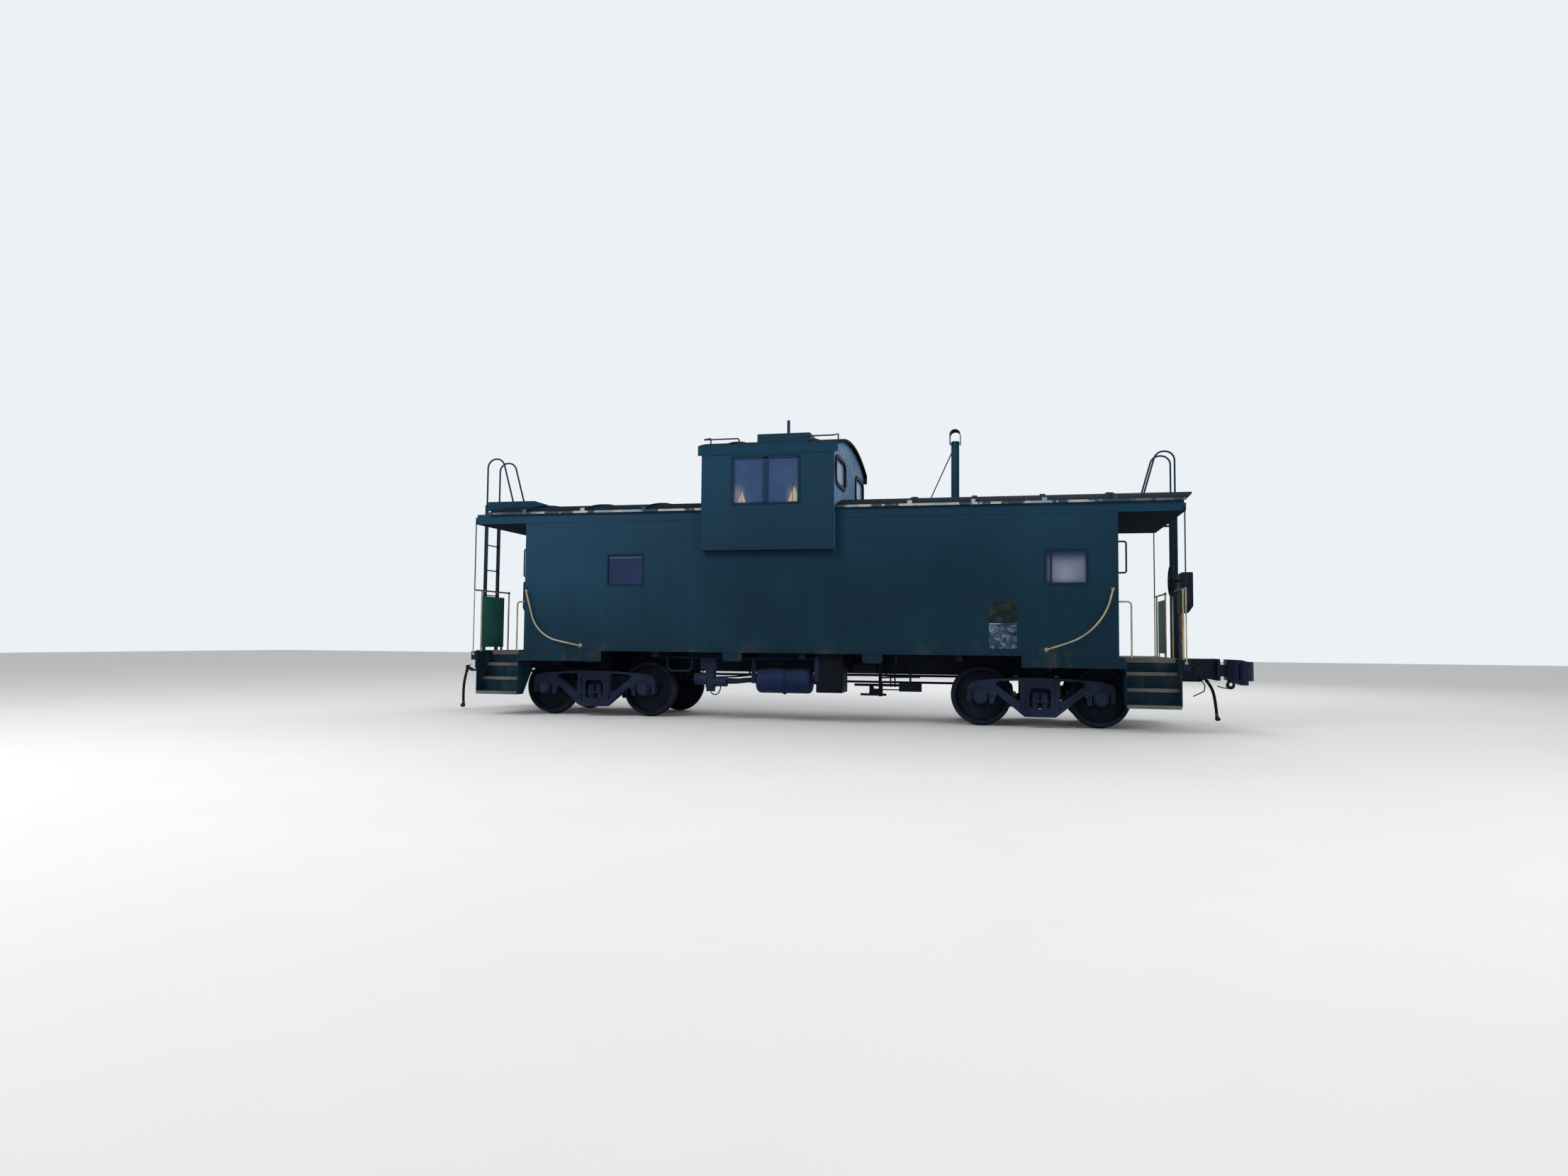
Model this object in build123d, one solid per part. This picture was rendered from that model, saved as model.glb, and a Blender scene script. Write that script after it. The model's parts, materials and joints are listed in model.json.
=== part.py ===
from build123d import *
import math
import os

# A wide cupola caboose, in millimetres: X along the car, the near side at -Y, Z up.
# Heights are measured from the wheel treads. save() lifts each piece by the flange depth,
# so that the car stands at Z = 0 on its flange tips, midway between its trucks.

# Wheels and trucks
TREAD_R = 419.1
FLANGE_DEPTH = 25.4
WHEEL_BACKS = 1357.0
RIM_WIDTH = 137.0
TRUCK_CENTRES = 6858.0
WHEELBASE = 1676.4
AXLE_R = 82.0
JOURNAL_R = 70.0
JOURNAL_SPACING = 1981.0
CAP_R = 84.0
CAP_OUT = 1105.0
CAP_T = 22.0
CAP_BOLT_R = 11.0
BEARING_R = 108.0
BEARING_LEN = 150.0
RUNNING_GAP = 0.5
MOVING_GAP = 6.0
SEAT_GAP = 0.3
FRAME_THICK = 130.0
FRAME_WEB = 20.0
SEAT_T = 18.0
FRAME_TOP = 695.0
FRAME_BOTTOM = 135.0
JAW_TOP = 535.0
OPENING = (-215.0, 215.0, 195.0, 612.0)
SPRING_TOP = 338.0
SPRING_R = 62.0
SPRING_X = 75.0
SPRING_SEAT = (160.0, 20.0)
PLATE_TOP = 654.0
BOWL_R = 215.0
PLATE_R = 190.0
KINGPIN_R = 22.0
SIDE_BEARING_Y = 635.0
SHOE_GAP = 8.0

# Body
BODY_L = 8950.0
BODY_X = BODY_L / 2
BODY_W = 2810.0
SIDE_Y = BODY_W / 2
WALL = 70.0
SIDE_BOTTOM = 1011.0
FLOOR_T = 40.0
FLOOR_TOP = SIDE_BOTTOM + FLOOR_T
EAVE = 3199.0
RIDGE = EAVE + 241.0
BAND_TOP = EAVE - 69.0
BAND_BOTTOM = BAND_TOP - 108.0
BAND_PROUD = 6.0
ROOF_W = BODY_W + 74.0
ROOF_T = 22.0
SHEET_END = BODY_X + 655.0
VISOR_X = SHEET_END + 230.0
VISOR_BOW = 260.0
NOTCH_EDGE = 300.0
SEAMS = (-4500.0, -3500.0, -2490.0, 1600.0, 2500.0, 3490.0, 4440.0)
SEAM_W = 60.0
SEAM_H = 20.0
SEAM_END_H = 45.0
EAVE_STRIP = (8.0, 33.0)

# Cupola
CUP_X = -515.0
CUP_L = 2031.0
CUP_0 = CUP_X - CUP_L / 2
CUP_1 = CUP_X + CUP_L / 2
CUP_W = 3080.0
CUP_WALL = 60.0
CUP_BOTTOM = EAVE - 656.0
CUP_EAVE = EAVE + 931.0
CUP_RIDGE = CUP_EAVE + 245.0
CUP_BAND = 150.0
CUP_OVER = 58.0
CUP_PROUD = 8.0
CUP_LIP = (8.0, 45.0)
CUP_SEAM = 600.0

# Windows: x0, x1, z0, z1 of openings in the sides, |y|0, |y|1, z0, z1 in the ends
LEFT_WINDOW = (-3086.0, -2485.0, 2021.0, 2515.0)
RIGHT_WINDOW = (3486.0, 4067.0, 2021.0, 2515.0)
RIGHT_MULLION = 86.0
CUP_WINDOW = (-1062.0, -2.0, CUP_EAVE - 908.0, CUP_EAVE - 177.0)
CUP_END_WINDOW = (530.0, CUP_W / 2 - 140.0, CUP_EAVE - 590.0, CUP_EAVE - 170.0)
CUP_WINDOW_ROUND = 110.0
END_WINDOW = (640.0, 1060.0, 1950.0, 2500.0)
FRAME_W = 22.0
FRAME_PROUD = 8.0
GLASS_T = 8.0
GLASS_IN = 9.0

# End doors
DOOR_W = 700.0
DOOR_H = EAVE - SIDE_BOTTOM - 288.0
DOOR_T = 45.0
DOOR_GAP = 7.0
DOOR_SILL = 12.0
DOOR_INSET = 12.0
DOOR_LIGHT = (440.0, 620.0)
DOOR_RAIL = 150.0
HINGE_R = 6.0
HINGE_LEN = 100.0
HINGE_HEIGHTS = (250.0, 950.0, 1650.0)

# End platforms and steps
DECK_TOP = 1000.0
DECK_T = 40.0
DECK_HALF = 930.0
END_SILL_X = BODY_X + 915.0
END_SILL_T = 95.0
END_SILL_HALF = 1410.0
END_SILL_Z = (850.0, 985.0)
STEP_X = (BODY_X + 95.0, BODY_X + 810.0)
STEP_PLATE = 12.0
STEP_LOW = 340.0
NOSING_H = 48.0
NOSING_LIP = 14.0
DECK_NOSING = 68.0
RISER_T = 6.0
# Each tread: outer edge from the centre line, height of its top
TREADS = ((1050.0, 800.0), (1200.0, 580.0), (1410.0, 360.0))

# Railings and ladders
RAIL_X = BODY_X + 863.0
POST_Y = 1429.0
POST_R = 9.0
RAIL_R = 13.0
RAIL_TOP = 1965.0
SHORT_POSTS = (320.0, 1200.0)
KNOB_R = 22.0
PANEL_Y = (450.0, 1150.0)
PANEL_Z = (1050.0, 1880.0)
PANEL_T = 8.0
PANEL_FOOT = 60.0
LADDER_X = BODY_X + 1035.0
LADDER_Y = (410.0, 810.0)
LADDER_BAR = (62.0, 14.0)
LADDER_Z = (895.0, EAVE + 221.0)
RUNG_R = 10.0
RUNG_LOW = 1070.0
RUNG_PITCH = 420.0
NECK_R = 14.0
NECK_BEND = 145.0
NECK_TOP_RUN = 270.0
NECK_TOP = EAVE + 991.0
NECK_REACH = 480.0
WALK_Y = (360.0, 850.0)
WALK_X = (BODY_X - 165.0, BODY_X + 155.0, BODY_X + 995.0)
WALK_TOP = EAVE + 266.0
WALK_T = 20.0
WALK_SKIRT = 145.0
# Ladder arms: foot and top of each, and what it reaches back to
LADDER_ARMS = (
    (LADDER_Z[0], LADDER_Z[0] + 25.0, END_SILL_X),
    (EAVE - 149.0, EAVE - 119.0, VISOR_X),
    (WALK_TOP - 85.0, WALK_TOP - 55.0, WALK_X[2]),
)

# Hand brakes
BRAKE_Y = -700.0
BRAKE_Z = 2100.0
BRAKE_X = RAIL_X - 73.0
BRAKE_WHEEL_R = 232.0
BRAKE_RIM_R = 14.0
BRAKE_SHAFT_R = 18.0
BRAKE_HUB = (42.0, 27.0)
BRAKE_SPOKES = 5

# Underframe
SILL_HALF = 165.0
SILL_LOW = 690.0
SILL_WEB = 22.0
STRIKER_X = END_SILL_X + 610.0
BEARER_LOW = 930.0
BEARER_HALF = 45.0
BEARER_Y = 1330.0
BEARERS = (-2300.0, -1060.0, 0.0, 1060.0, 2300.0)
RAIL_LOW = 918.0
PLATE_Y = (1385.0, 1400.0)
PLATE_X = (TRUCK_CENTRES / 2 - 263.0, BODY_X + 81.0)
PLATE_LOW = 850.0
PAD_X = 1060.0
PAD = (295.0, 131.0, 45.0)
TANK_Y = -1050.0

# Couplers, pipe and hoses
COUPLER_Z = 815.0
COUPLER_PIN_X = END_SILL_X + 230.0
COUPLER_PIN_R = 35.0
SHANK = (75.0, 85.0)
POCKET_X = END_SILL_X + 110.0
POCKET_HALF_Z = 110.0
HEAD_X = STRIKER_X + 110.0
KNUCKLE_PIN = (220.0, -150.0)
KNUCKLE_PIN_R = 20.0
KNUCKLE_Z = (692.0, 898.0)
KNUCKLE_HUB_R = 62.0
EAR_R = 66.0
PIPE_R = 19.0
PIPE_Y = 330.0
PIPE_Z = 650.0
HOSE_R = 22.5
# From the nipple of each angle cock down to the coupling: distance out from the striker, y and z
HOSES = {
    "left": ((95, -330, 625), (120, -332, 528), (137, -335, 408), (145, -334, 285), (146, -331, 172),
             (143, -329, 85)),
    "right": ((-75, 330, 632), (-25, 330, 560), (12, 329, 455), (30, 328, 335), (44, 330, 222),
              (52, 332, 120)),
}


# Drawing helpers
def face(*points):
    return make_face(Polyline(*points, close=True))


def rect(a0, a1, b0, b1, round_by=0.0):
    a0, a1 = sorted((a0, a1))
    b0, b1 = sorted((b0, b1))
    shape = Rectangle(a1 - a0, b1 - b0)
    if round_by:
        shape = RectangleRounded(a1 - a0, b1 - b0, round_by)
    return Pos((a0 + a1) / 2, (b0 + b1) / 2) * shape


def disc(a, b, radius):
    return Pos(a, b) * Circle(radius)


def along_x(sketch, x0, x1):
    """A (y, z) outline drawn out from x0 to x1."""
    x0, x1 = sorted((x0, x1))
    return extrude(Plane.YZ.offset(x0) * sketch, amount=x1 - x0)


def along_y(sketch, y0, y1):
    """An (x, z) outline drawn out from y0 to y1."""
    y0, y1 = sorted((y0, y1))
    return extrude(Plane.XZ.offset(-y1) * sketch, amount=y1 - y0)


def along_z(sketch, z0, z1):
    """An (x, y) outline drawn out from z0 to z1."""
    return extrude(Plane.XY.offset(z0) * sketch, amount=z1 - z0)


def block(x0, x1, y0, y1, z0, z1):
    return along_z(rect(x0, x1, y0, y1), z0, z1)


def rod(start, end, radius):
    start = Vector(*start)
    run = Vector(*end) - start
    return extrude(Plane(origin=start, z_dir=run) * Circle(radius), amount=run.length)


def tube(points, radius, bends):
    path = FilletPolyline(*points, radius=bends)
    return sweep(Plane(origin=path @ 0, z_dir=path % 0) * Circle(radius), path=path)


def turned(shape):
    """The same piece at the other end, half a turn about the car's centre."""
    return Rot(0, 0, 180) * shape


def across(shape):
    return mirror(shape, Plane.XZ)


def joined(pieces):
    whole = pieces[0]
    for piece in pieces[1:]:
        whole = whole + piece
    return whole


def save(name, *shapes):
    pieces = [Pos(0, 0, FLANGE_DEPTH) * solid for shape in shapes for solid in shape.solids()]
    whole = pieces[0] if len(pieces) == 1 else Compound(pieces)
    export_step(whole, f"parts/{name}.step")


# Arched roofs
def arch(half_width, eave, ridge, thick):
    """Cross-section of an arched sheet, springing from eave at the half width."""
    outer = ThreePointArc((-half_width, eave), (0, ridge), (half_width, eave))
    inner = ThreePointArc(
        (-half_width, eave - thick), (0, ridge - thick), (half_width, eave - thick))
    sides = (
        Line((-half_width, eave), (-half_width, eave - thick)),
        Line((half_width, eave), (half_width, eave - thick)),
    )
    return make_face([outer, *sides, inner])


def dome(half_width, base, eave, ridge):
    """Everything under the same arch, down to a flat base."""
    top = ThreePointArc((-half_width, eave), (0, ridge), (half_width, eave))
    below = Polyline(
        (half_width, eave), (half_width, base), (-half_width, base), (-half_width, eave))
    return make_face([top, below])


def arch_height(y, half_width, eave, ridge):
    rise = ridge - eave
    radius = (half_width ** 2 + rise ** 2) / (2 * rise)
    return ridge - radius + math.sqrt(radius ** 2 - y ** 2)


def roof_height(y):
    return arch_height(y, ROOF_W / 2, EAVE, RIDGE)


def cupola_height(y):
    return arch_height(y, CUP_W / 2 + CUP_PROUD, CUP_EAVE, CUP_RIDGE)


def under_roof(base, x0, x1):
    """Everything under the body roof's sheets."""
    return along_x(dome(ROOF_W / 2, base, EAVE - ROOF_T, RIDGE - ROOF_T), x0, x1)


def below_roof_skin(x0, x1):
    """Everything inside the body roof's outer face."""
    return along_x(dome(ROOF_W / 2, SIDE_BOTTOM, EAVE, RIDGE), x0, x1)


def below_cupola_skin(x0, x1):
    half = CUP_W / 2 + CUP_PROUD
    return along_x(dome(half, SIDE_BOTTOM, CUP_EAVE, CUP_RIDGE), x0, x1)


def seam_caps(places, half_width, eave, ridge):
    """Flat strips over the joints between roof sheets."""
    strip = arch(half_width, eave + SEAM_H, ridge + SEAM_H, SEAM_H)
    return [along_x(strip, x - SEAM_W / 2, x + SEAM_W / 2) for x in places]


SILL_END_TOP = DECK_TOP - DECK_T


# Roof
def visor():
    """Bowed end of the roof over the right platform, cut back beside the ladder."""
    edge = ROOF_W / 2
    tip = VISOR_X + VISOR_BOW
    sheet = along_x(arch(edge, EAVE, RIDGE, ROOF_T), SHEET_END, tip)
    bow = ThreePointArc((VISOR_X, -edge), (tip, 0), (VISOR_X, edge))
    back = Polyline((VISOR_X, edge), (SHEET_END, edge), (SHEET_END, -edge), (VISOR_X, -edge))
    plan = along_z(make_face([bow, back]), EAVE - ROOF_T, RIDGE)
    notch = block(SHEET_END, tip, NOTCH_EDGE, edge, EAVE - ROOF_T, RIDGE)
    return (sheet & plan) - notch


def main_roof():
    sheet = arch(ROOF_W / 2, EAVE, RIDGE, ROOF_T)
    left = along_x(sheet, -SHEET_END, CUP_0)
    right = along_x(sheet, CUP_1, SHEET_END)
    caps = seam_caps(SEAMS, ROOF_W / 2, EAVE, RIDGE)
    return [joined([left, turned(visor()), *caps[:3]]), joined([right, visor(), *caps[3:]])]


def eave_strips():
    """Drip strips along both eaves, broken by the cupola."""
    out, deep = EAVE_STRIP
    edge = ROOF_W / 2
    strips = []
    for side, start, end in ((-1, -SHEET_END, VISOR_X), (1, -VISOR_X, SHEET_END)):
        for x0, x1 in ((start, CUP_0), (CUP_1, end)):
            strip = block(x0, x1, side * edge, side * (edge + out), EAVE - deep, EAVE)
            for x in SEAMS:
                if x0 < x < x1:
                    ends = (x - SEAM_W / 2 - 4, x + SEAM_W / 2 + 4)
                    strip = strip + block(*ends, side * edge, side * (edge + out), EAVE, EAVE + SEAM_END_H)
            strips.append(strip)
    return strips


def overhang():
    """Closed box of soffit, frieze and end board over the right platform."""
    half = SIDE_Y - BAND_PROUD
    under = EAVE - ROOF_T
    box = along_x(dome(half, BAND_BOTTOM, under, RIDGE), BODY_X, RAIL_X)
    box = box & under_roof(BAND_BOTTOM, BODY_X, RAIL_X)
    outer = SIDE_Y + BAND_PROUD
    band = block(BODY_X, VISOR_X, -outer, outer, BAND_BOTTOM, BAND_TOP)
    notch = block(SHEET_END, VISOR_X, NOTCH_EDGE, ROOF_W, under, RIDGE)
    return (box + band) - notch


# Body
def window_hole(window, y0, y1):
    return along_y(rect(*window), y0, y1)


def side_wall():
    """Near side of the body, with its two windows and the gap under the cupola bay."""
    inner = SIDE_Y - WALL
    under = EAVE - ROOF_T - 1
    wall = block(-BODY_X, BODY_X, -SIDE_Y, -inner, SIDE_BOTTOM, BAND_BOTTOM)
    frieze = block(-BODY_X, BODY_X, -SIDE_Y + BAND_PROUD, -inner, BAND_BOTTOM, under)
    band = block(-BODY_X, BODY_X, -SIDE_Y - BAND_PROUD, -inner, BAND_BOTTOM, BAND_TOP)
    wall = wall + frieze + band
    wall = wall - block(CUP_0, CUP_1, -SIDE_Y - WALL, -inner + WALL, CUP_BOTTOM, EAVE)
    for window in (LEFT_WINDOW, RIGHT_WINDOW):
        wall = wall - window_hole(window, -SIDE_Y - WALL, -inner + WALL)
    return wall


def hinge_line():
    """Where the right door's hinges stand: x, y and the lowest edge of its leaf."""
    return BODY_X - DOOR_INSET - DOOR_T, DOOR_W / 2, FLOOR_TOP + DOOR_SILL


def end_wall():
    """Right end of the body, with its door opening, hinge knuckles and two windows."""
    half = SIDE_Y - WALL
    x0 = BODY_X - WALL
    wall = along_x(dome(half, SIDE_BOTTOM, EAVE - ROOF_T, RIDGE), x0, BODY_X)
    wall = wall & under_roof(SIDE_BOTTOM, x0, BODY_X)
    edge = DOOR_W / 2 + DOOR_GAP
    hx, hy, low = hinge_line()
    wall = wall - block(x0, BODY_X, -edge, edge, FLOOR_TOP, low + DOOR_H + DOOR_GAP)
    for side in (-1, 1):
        y0, y1, z0, z1 = END_WINDOW
        wall = wall - block(x0, BODY_X, side * y0, side * y1, z0, z1)
    for height in HINGE_HEIGHTS:
        z1 = low + height - RUNNING_GAP / 2
        z0 = z1 - HINGE_LEN / 2
        wall = wall + along_z(disc(hx, hy, HINGE_R), z0, z1)
        wall = wall + block(hx - HINGE_R, hx + HINGE_R, hy + 1, edge, z0, z1)
    return wall


def door():
    """Right end door, hung at its +Y edge so that it opens inward."""
    hx, hy, low = hinge_line()
    x1 = hx + DOOR_T
    light_w, light_h = DOOR_LIGHT
    top = low + DOOR_H - DOOR_RAIL
    leaf = block(hx, x1, -DOOR_W / 2, DOOR_W / 2, low, low + DOOR_H)
    light = rect(-light_w / 2, light_w / 2, top - light_h, top, 30)
    leaf = leaf - along_x(light, hx, x1)
    pane = along_x(light, x1 - DOOR_T / 2 - GLASS_T / 2, x1 - DOOR_T / 2 + GLASS_T / 2)
    for height in HINGE_HEIGHTS:
        z = low + height
        leaf = leaf - along_z(disc(hx, hy, HINGE_R + RUNNING_GAP), z - HINGE_LEN / 2 - 1, z)
        leaf = leaf + along_z(disc(hx, hy, HINGE_R), z + RUNNING_GAP / 2, z + HINGE_LEN / 2)
    knob_y = -DOOR_W / 2 + 60
    knob_z = low + DOOR_H / 2
    for reach in (hx - 50, x1 + 50):
        leaf = leaf + rod((hx + DOOR_T / 2, knob_y, knob_z), (reach, knob_y, knob_z), 11)
        leaf = leaf + Pos(reach, knob_y, knob_z) * Sphere(24)
    return leaf, pane


def floor():
    half = SIDE_Y - WALL
    return block(-BODY_X + WALL, BODY_X - WALL, -half, half, SIDE_BOTTOM, FLOOR_TOP)


# Windows
def side_window(window, outer_y, mullions=()):
    """Frame and panes of a window in a near side whose outer face is at -outer_y."""
    x0, x1, z0, z1 = window
    y0 = -outer_y - FRAME_PROUD
    y1 = -outer_y + FRAME_W
    ring = along_y(rect(x0, x1, z0, z1), y0, y1)
    edges = [x0, *mullions, x1]
    panes = []
    for a, b in zip(edges[:-1], edges[1:]):
        left = a + (FRAME_W if a == x0 else FRAME_W / 2)
        right = b - (FRAME_W if b == x1 else FRAME_W / 2)
        light = rect(left, right, z0 + FRAME_W, z1 - FRAME_W)
        ring = ring - along_y(light, y0, y1)
        panes.append(along_y(light, -outer_y + GLASS_IN, -outer_y + GLASS_IN + GLASS_T))
    return ring, panes


def end_window(window, outer_x, side, corner=0.0):
    """Frame and pane of a window in an end wall whose outer face is at outer_x."""
    y0, y1, z0, z1 = window
    y0, y1 = sorted((side * y0, side * y1))
    light = rect(y0 + FRAME_W, y1 - FRAME_W, z0 + FRAME_W, z1 - FRAME_W, corner)
    outline = rect(y0, y1, z0, z1, corner + FRAME_W if corner else 0)
    ring = along_x(outline - light, outer_x - FRAME_W, outer_x + FRAME_PROUD)
    return ring, [along_x(light, outer_x - GLASS_IN - GLASS_T, outer_x - GLASS_IN)]


# Cupola
def swap_ends(shape):
    """The matching piece at the cupola's other end."""
    return mirror(shape, Plane.YZ.offset(CUP_X))


def cupola_side():
    """Near side of the cupola with the floor of its bay; it covers the edges of the end walls."""
    y0 = -CUP_W / 2
    panel = block(CUP_0, CUP_1, y0, y0 + CUP_WALL, CUP_BOTTOM, CUP_EAVE - ROOF_T - 2)
    bay_floor = block(CUP_0 + CUP_WALL, CUP_1 - CUP_WALL, y0, -SIDE_Y + WALL, CUP_BOTTOM,
                      CUP_BOTTOM + ROOF_T)
    return (panel + bay_floor) - window_hole(CUP_WINDOW, y0, y0 + CUP_WALL)


def cupola_end():
    """Right end wall of the cupola, between its sides, standing on the body roof."""
    x0 = CUP_1 - CUP_WALL
    inner = CUP_W / 2 - CUP_WALL
    half = CUP_W / 2 + CUP_PROUD
    wall = along_x(dome(half, CUP_BOTTOM, CUP_EAVE - ROOF_T, CUP_RIDGE - ROOF_T), x0, CUP_1)
    wall = wall & block(x0, CUP_1, -inner, inner, CUP_BOTTOM, CUP_RIDGE)
    wall = wall - block(x0, CUP_1, -SIDE_Y, SIDE_Y, CUP_BOTTOM, BAND_BOTTOM + WALL)
    for side in (-1, 1):
        y0, y1, z0, z1 = CUP_END_WINDOW
        hole = rect(side * y0, side * y1, z0, z1, CUP_WINDOW_ROUND + FRAME_W)
        wall = wall - along_x(hole, x0, CUP_1)
    return wall


def cupola_roof():
    """Arched roof with a deep band along each side and a thin lip at each end."""
    half = CUP_W / 2 + CUP_PROUD
    x0 = CUP_0 - CUP_OVER
    x1 = CUP_1 + CUP_OVER
    mid = ROOF_T / 2
    low = CUP_EAVE - CUP_BAND
    lip_t, lip_deep = CUP_LIP
    roof = along_x(arch(half, CUP_EAVE, CUP_RIDGE, ROOF_T), x0, x1)
    lip = along_x(arch(half, CUP_EAVE, CUP_RIDGE, lip_deep), x1 - lip_t, x1)
    roof = roof + lip + swap_ends(lip)
    band = block(x0, x1, -half, -CUP_W / 2, low, CUP_EAVE - mid)
    roof = roof + band + across(band)
    seams = (CUP_X - CUP_SEAM, CUP_X + CUP_SEAM)
    return joined([roof, *seam_caps(seams, half, CUP_EAVE, CUP_RIDGE)])


def cupola_rails():
    """Grab rails on the cupola roof, each bent round its corner."""
    radius = 11.0
    high = 85.0
    reach = (560.0, 370.0)
    inset = (10.0, 60.0)
    sink = 5.0
    skin = below_cupola_skin(CUP_0 - CUP_OVER, CUP_1 + CUP_OVER)
    rails = []
    for end in (-1, 1):
        for side in (-1, 1):
            x1 = CUP_X + end * (CUP_L / 2 - inset[0])
            x0 = x1 - end * reach[0]
            y1 = side * (CUP_W / 2 - inset[1])
            y0 = y1 - side * reach[1]
            low = cupola_height(y1)
            rise = cupola_height(y0)
            route = ((x0, y1, low - sink), (x0, y1, low + high), (x1, y1, low + high),
                     (x1, y0, rise + high), (x1, y0, rise - sink))
            rails.append(tube(route, radius, 35) - skin)
    return rails


def antenna():
    """Low box on the cupola roof with a stub mast."""
    x0 = CUP_X - 465.0
    x1 = CUP_X + 415.0
    half = 350.0
    top = CUP_RIDGE + 165
    stub_r = 25.0
    stub_top = CUP_RIDGE + 450
    box = block(x0, x1, -half, half, cupola_height(half) - 10, top)
    box = fillet(box.edges().filter_by(Axis.Z), 40)
    box = box - below_cupola_skin(x0, x1)
    return box + rod((CUP_X - 15, 0, top), (CUP_X - 15, 0, stub_top), stub_r)


def smokestack():
    """Stove pipe with an inverted trough for a hood and one stay."""
    x = 2180.0
    top = RIDGE + 930
    bore = 57.0
    pipe_r = 63.5
    half = 86.0
    wall = 8.0
    hood_z = (RIDGE + 890, RIDGE + 1025)
    low = roof_height(0)
    pipe = rod((x, 0, low - 10), (x, 0, top), pipe_r) - rod((x, 0, low + 60), (x, 0, top), bore)
    flange = rod((x, 0, low - 20), (x, 0, low + 30), 120)
    outer = disc(x, hood_z[1], half) + rect(x - half, x + half, *hood_z)
    inner = disc(x, hood_z[1], half - wall) + rect(x - half + wall, x + half - wall, *hood_z)
    hood = along_y(outer - inner, -120, 120)
    strap = block(x - half + 1, x + half - 1, -20, 20, hood_z[0] + 2, hood_z[0] + 12)
    strap = strap - rod((x, 0, hood_z[0]), (x, 0, top), bore)
    stay = rod((x - pipe_r + 5, 0, RIDGE + 750), (x - 403, 0, low - 8), 9)
    return (pipe + flange + strap + hood + stay) - below_roof_skin(CUP_1, SHEET_END)


# Ends of the car
def platform():
    """Right platform deck with its beams and end sill."""
    inner = END_SILL_X - END_SILL_T
    low, high = END_SILL_Z
    deck = block(BODY_X, inner, -DECK_HALF, DECK_HALF, SILL_END_TOP, DECK_TOP)
    side_x = STEP_X[0] - STEP_PLATE
    edge = block(BODY_X, side_x, -PLATE_Y[0], PLATE_Y[0], SILL_END_TOP, DECK_TOP)
    sill = block(inner, END_SILL_X, -END_SILL_HALF, END_SILL_HALF, low, high)
    sill = fillet(sill.edges().filter_by(Axis.Z), 20)
    sill = sill - block(inner, END_SILL_X, -SILL_HALF, SILL_HALF, low, SILL_END_TOP)
    whole = deck + edge + sill
    for y in (-480.0, 480.0):
        whole = whole + block(BODY_X, inner, y - 20, y + 20, SILL_END_TOP - 60, SILL_END_TOP)
    return whole


def steps():
    """Stair well at the right end of the near side: two side plates, treads and risers."""
    x0, x1 = STEP_X
    inner = x1 - STEP_PLATE
    out_most = TREADS[-1][0]
    cheek = face((-DECK_HALF, SILL_END_TOP), (-out_most, SILL_END_TOP), (-out_most, STEP_LOW),
                 (-out_most + 200, STEP_LOW), (-DECK_HALF, 700))
    stairs = along_x(cheek, x0 - STEP_PLATE, x0) + along_x(cheek, inner, x1)
    back = DECK_HALF
    riser = -DECK_HALF - RISER_T
    above = DECK_TOP - DECK_NOSING
    for out, high in TREADS:
        stairs = stairs + block(x0, inner, -out, -back, high - NOSING_H, high)
        stairs = stairs + block(x0, inner, riser, riser + RISER_T, high - NOSING_H, above)
        back = out
        riser = -out
        above = high - NOSING_H
    return stairs


def nosings():
    """Ribbed edge bars of the deck and of the three treads in the same stair well."""
    x0, x1 = STEP_X
    inner = x1 - STEP_PLATE
    edge = -DECK_HALF
    gap = SEAT_GAP
    bars = [block(x0 + gap, inner - gap, edge - NOSING_LIP, edge - gap, DECK_TOP - DECK_NOSING + gap,
                  DECK_TOP + 4)]
    for out, high in TREADS:
        bars.append(block(x0 + gap, inner - gap, -out - NOSING_LIP, -out - gap, high - NOSING_H + gap,
                          high + 3))
    return bars


def ladder():
    """Right-hand end ladder, on the far side, with its tall curved handholds."""
    thick, wide = LADDER_BAR
    x0 = LADDER_X - thick / 2
    x1 = LADDER_X + thick / 2
    low, high = LADDER_Z
    landing = LADDER_X - NECK_REACH
    pieces = []
    for y in LADDER_Y:
        pieces.append(block(x0, x1, y - wide / 2, y + wide / 2, low, high))
        for z0, z1, x_in in LADDER_ARMS:
            pieces.append(block(x_in, x0, y - wide / 2, y + wide / 2, z0, z1))
        route = ((LADDER_X, y, high - 40), (LADDER_X, y, NECK_TOP), (LADDER_X - NECK_TOP_RUN, y, NECK_TOP),
                 (landing, y, WALK_TOP - 20))
        neck = tube(route, NECK_R, (NECK_BEND, NECK_BEND))
        pieces.append(neck - block(landing - 60, landing + 60, y - 60, y + 60, WALK_TOP - 60, WALK_TOP))
    z = RUNG_LOW
    while z < high:
        pieces.append(rod((LADDER_X, LADDER_Y[0], z), (LADDER_X, LADDER_Y[1], z), RUNG_R))
        z += RUNG_PITCH
    return joined(pieces)


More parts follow.
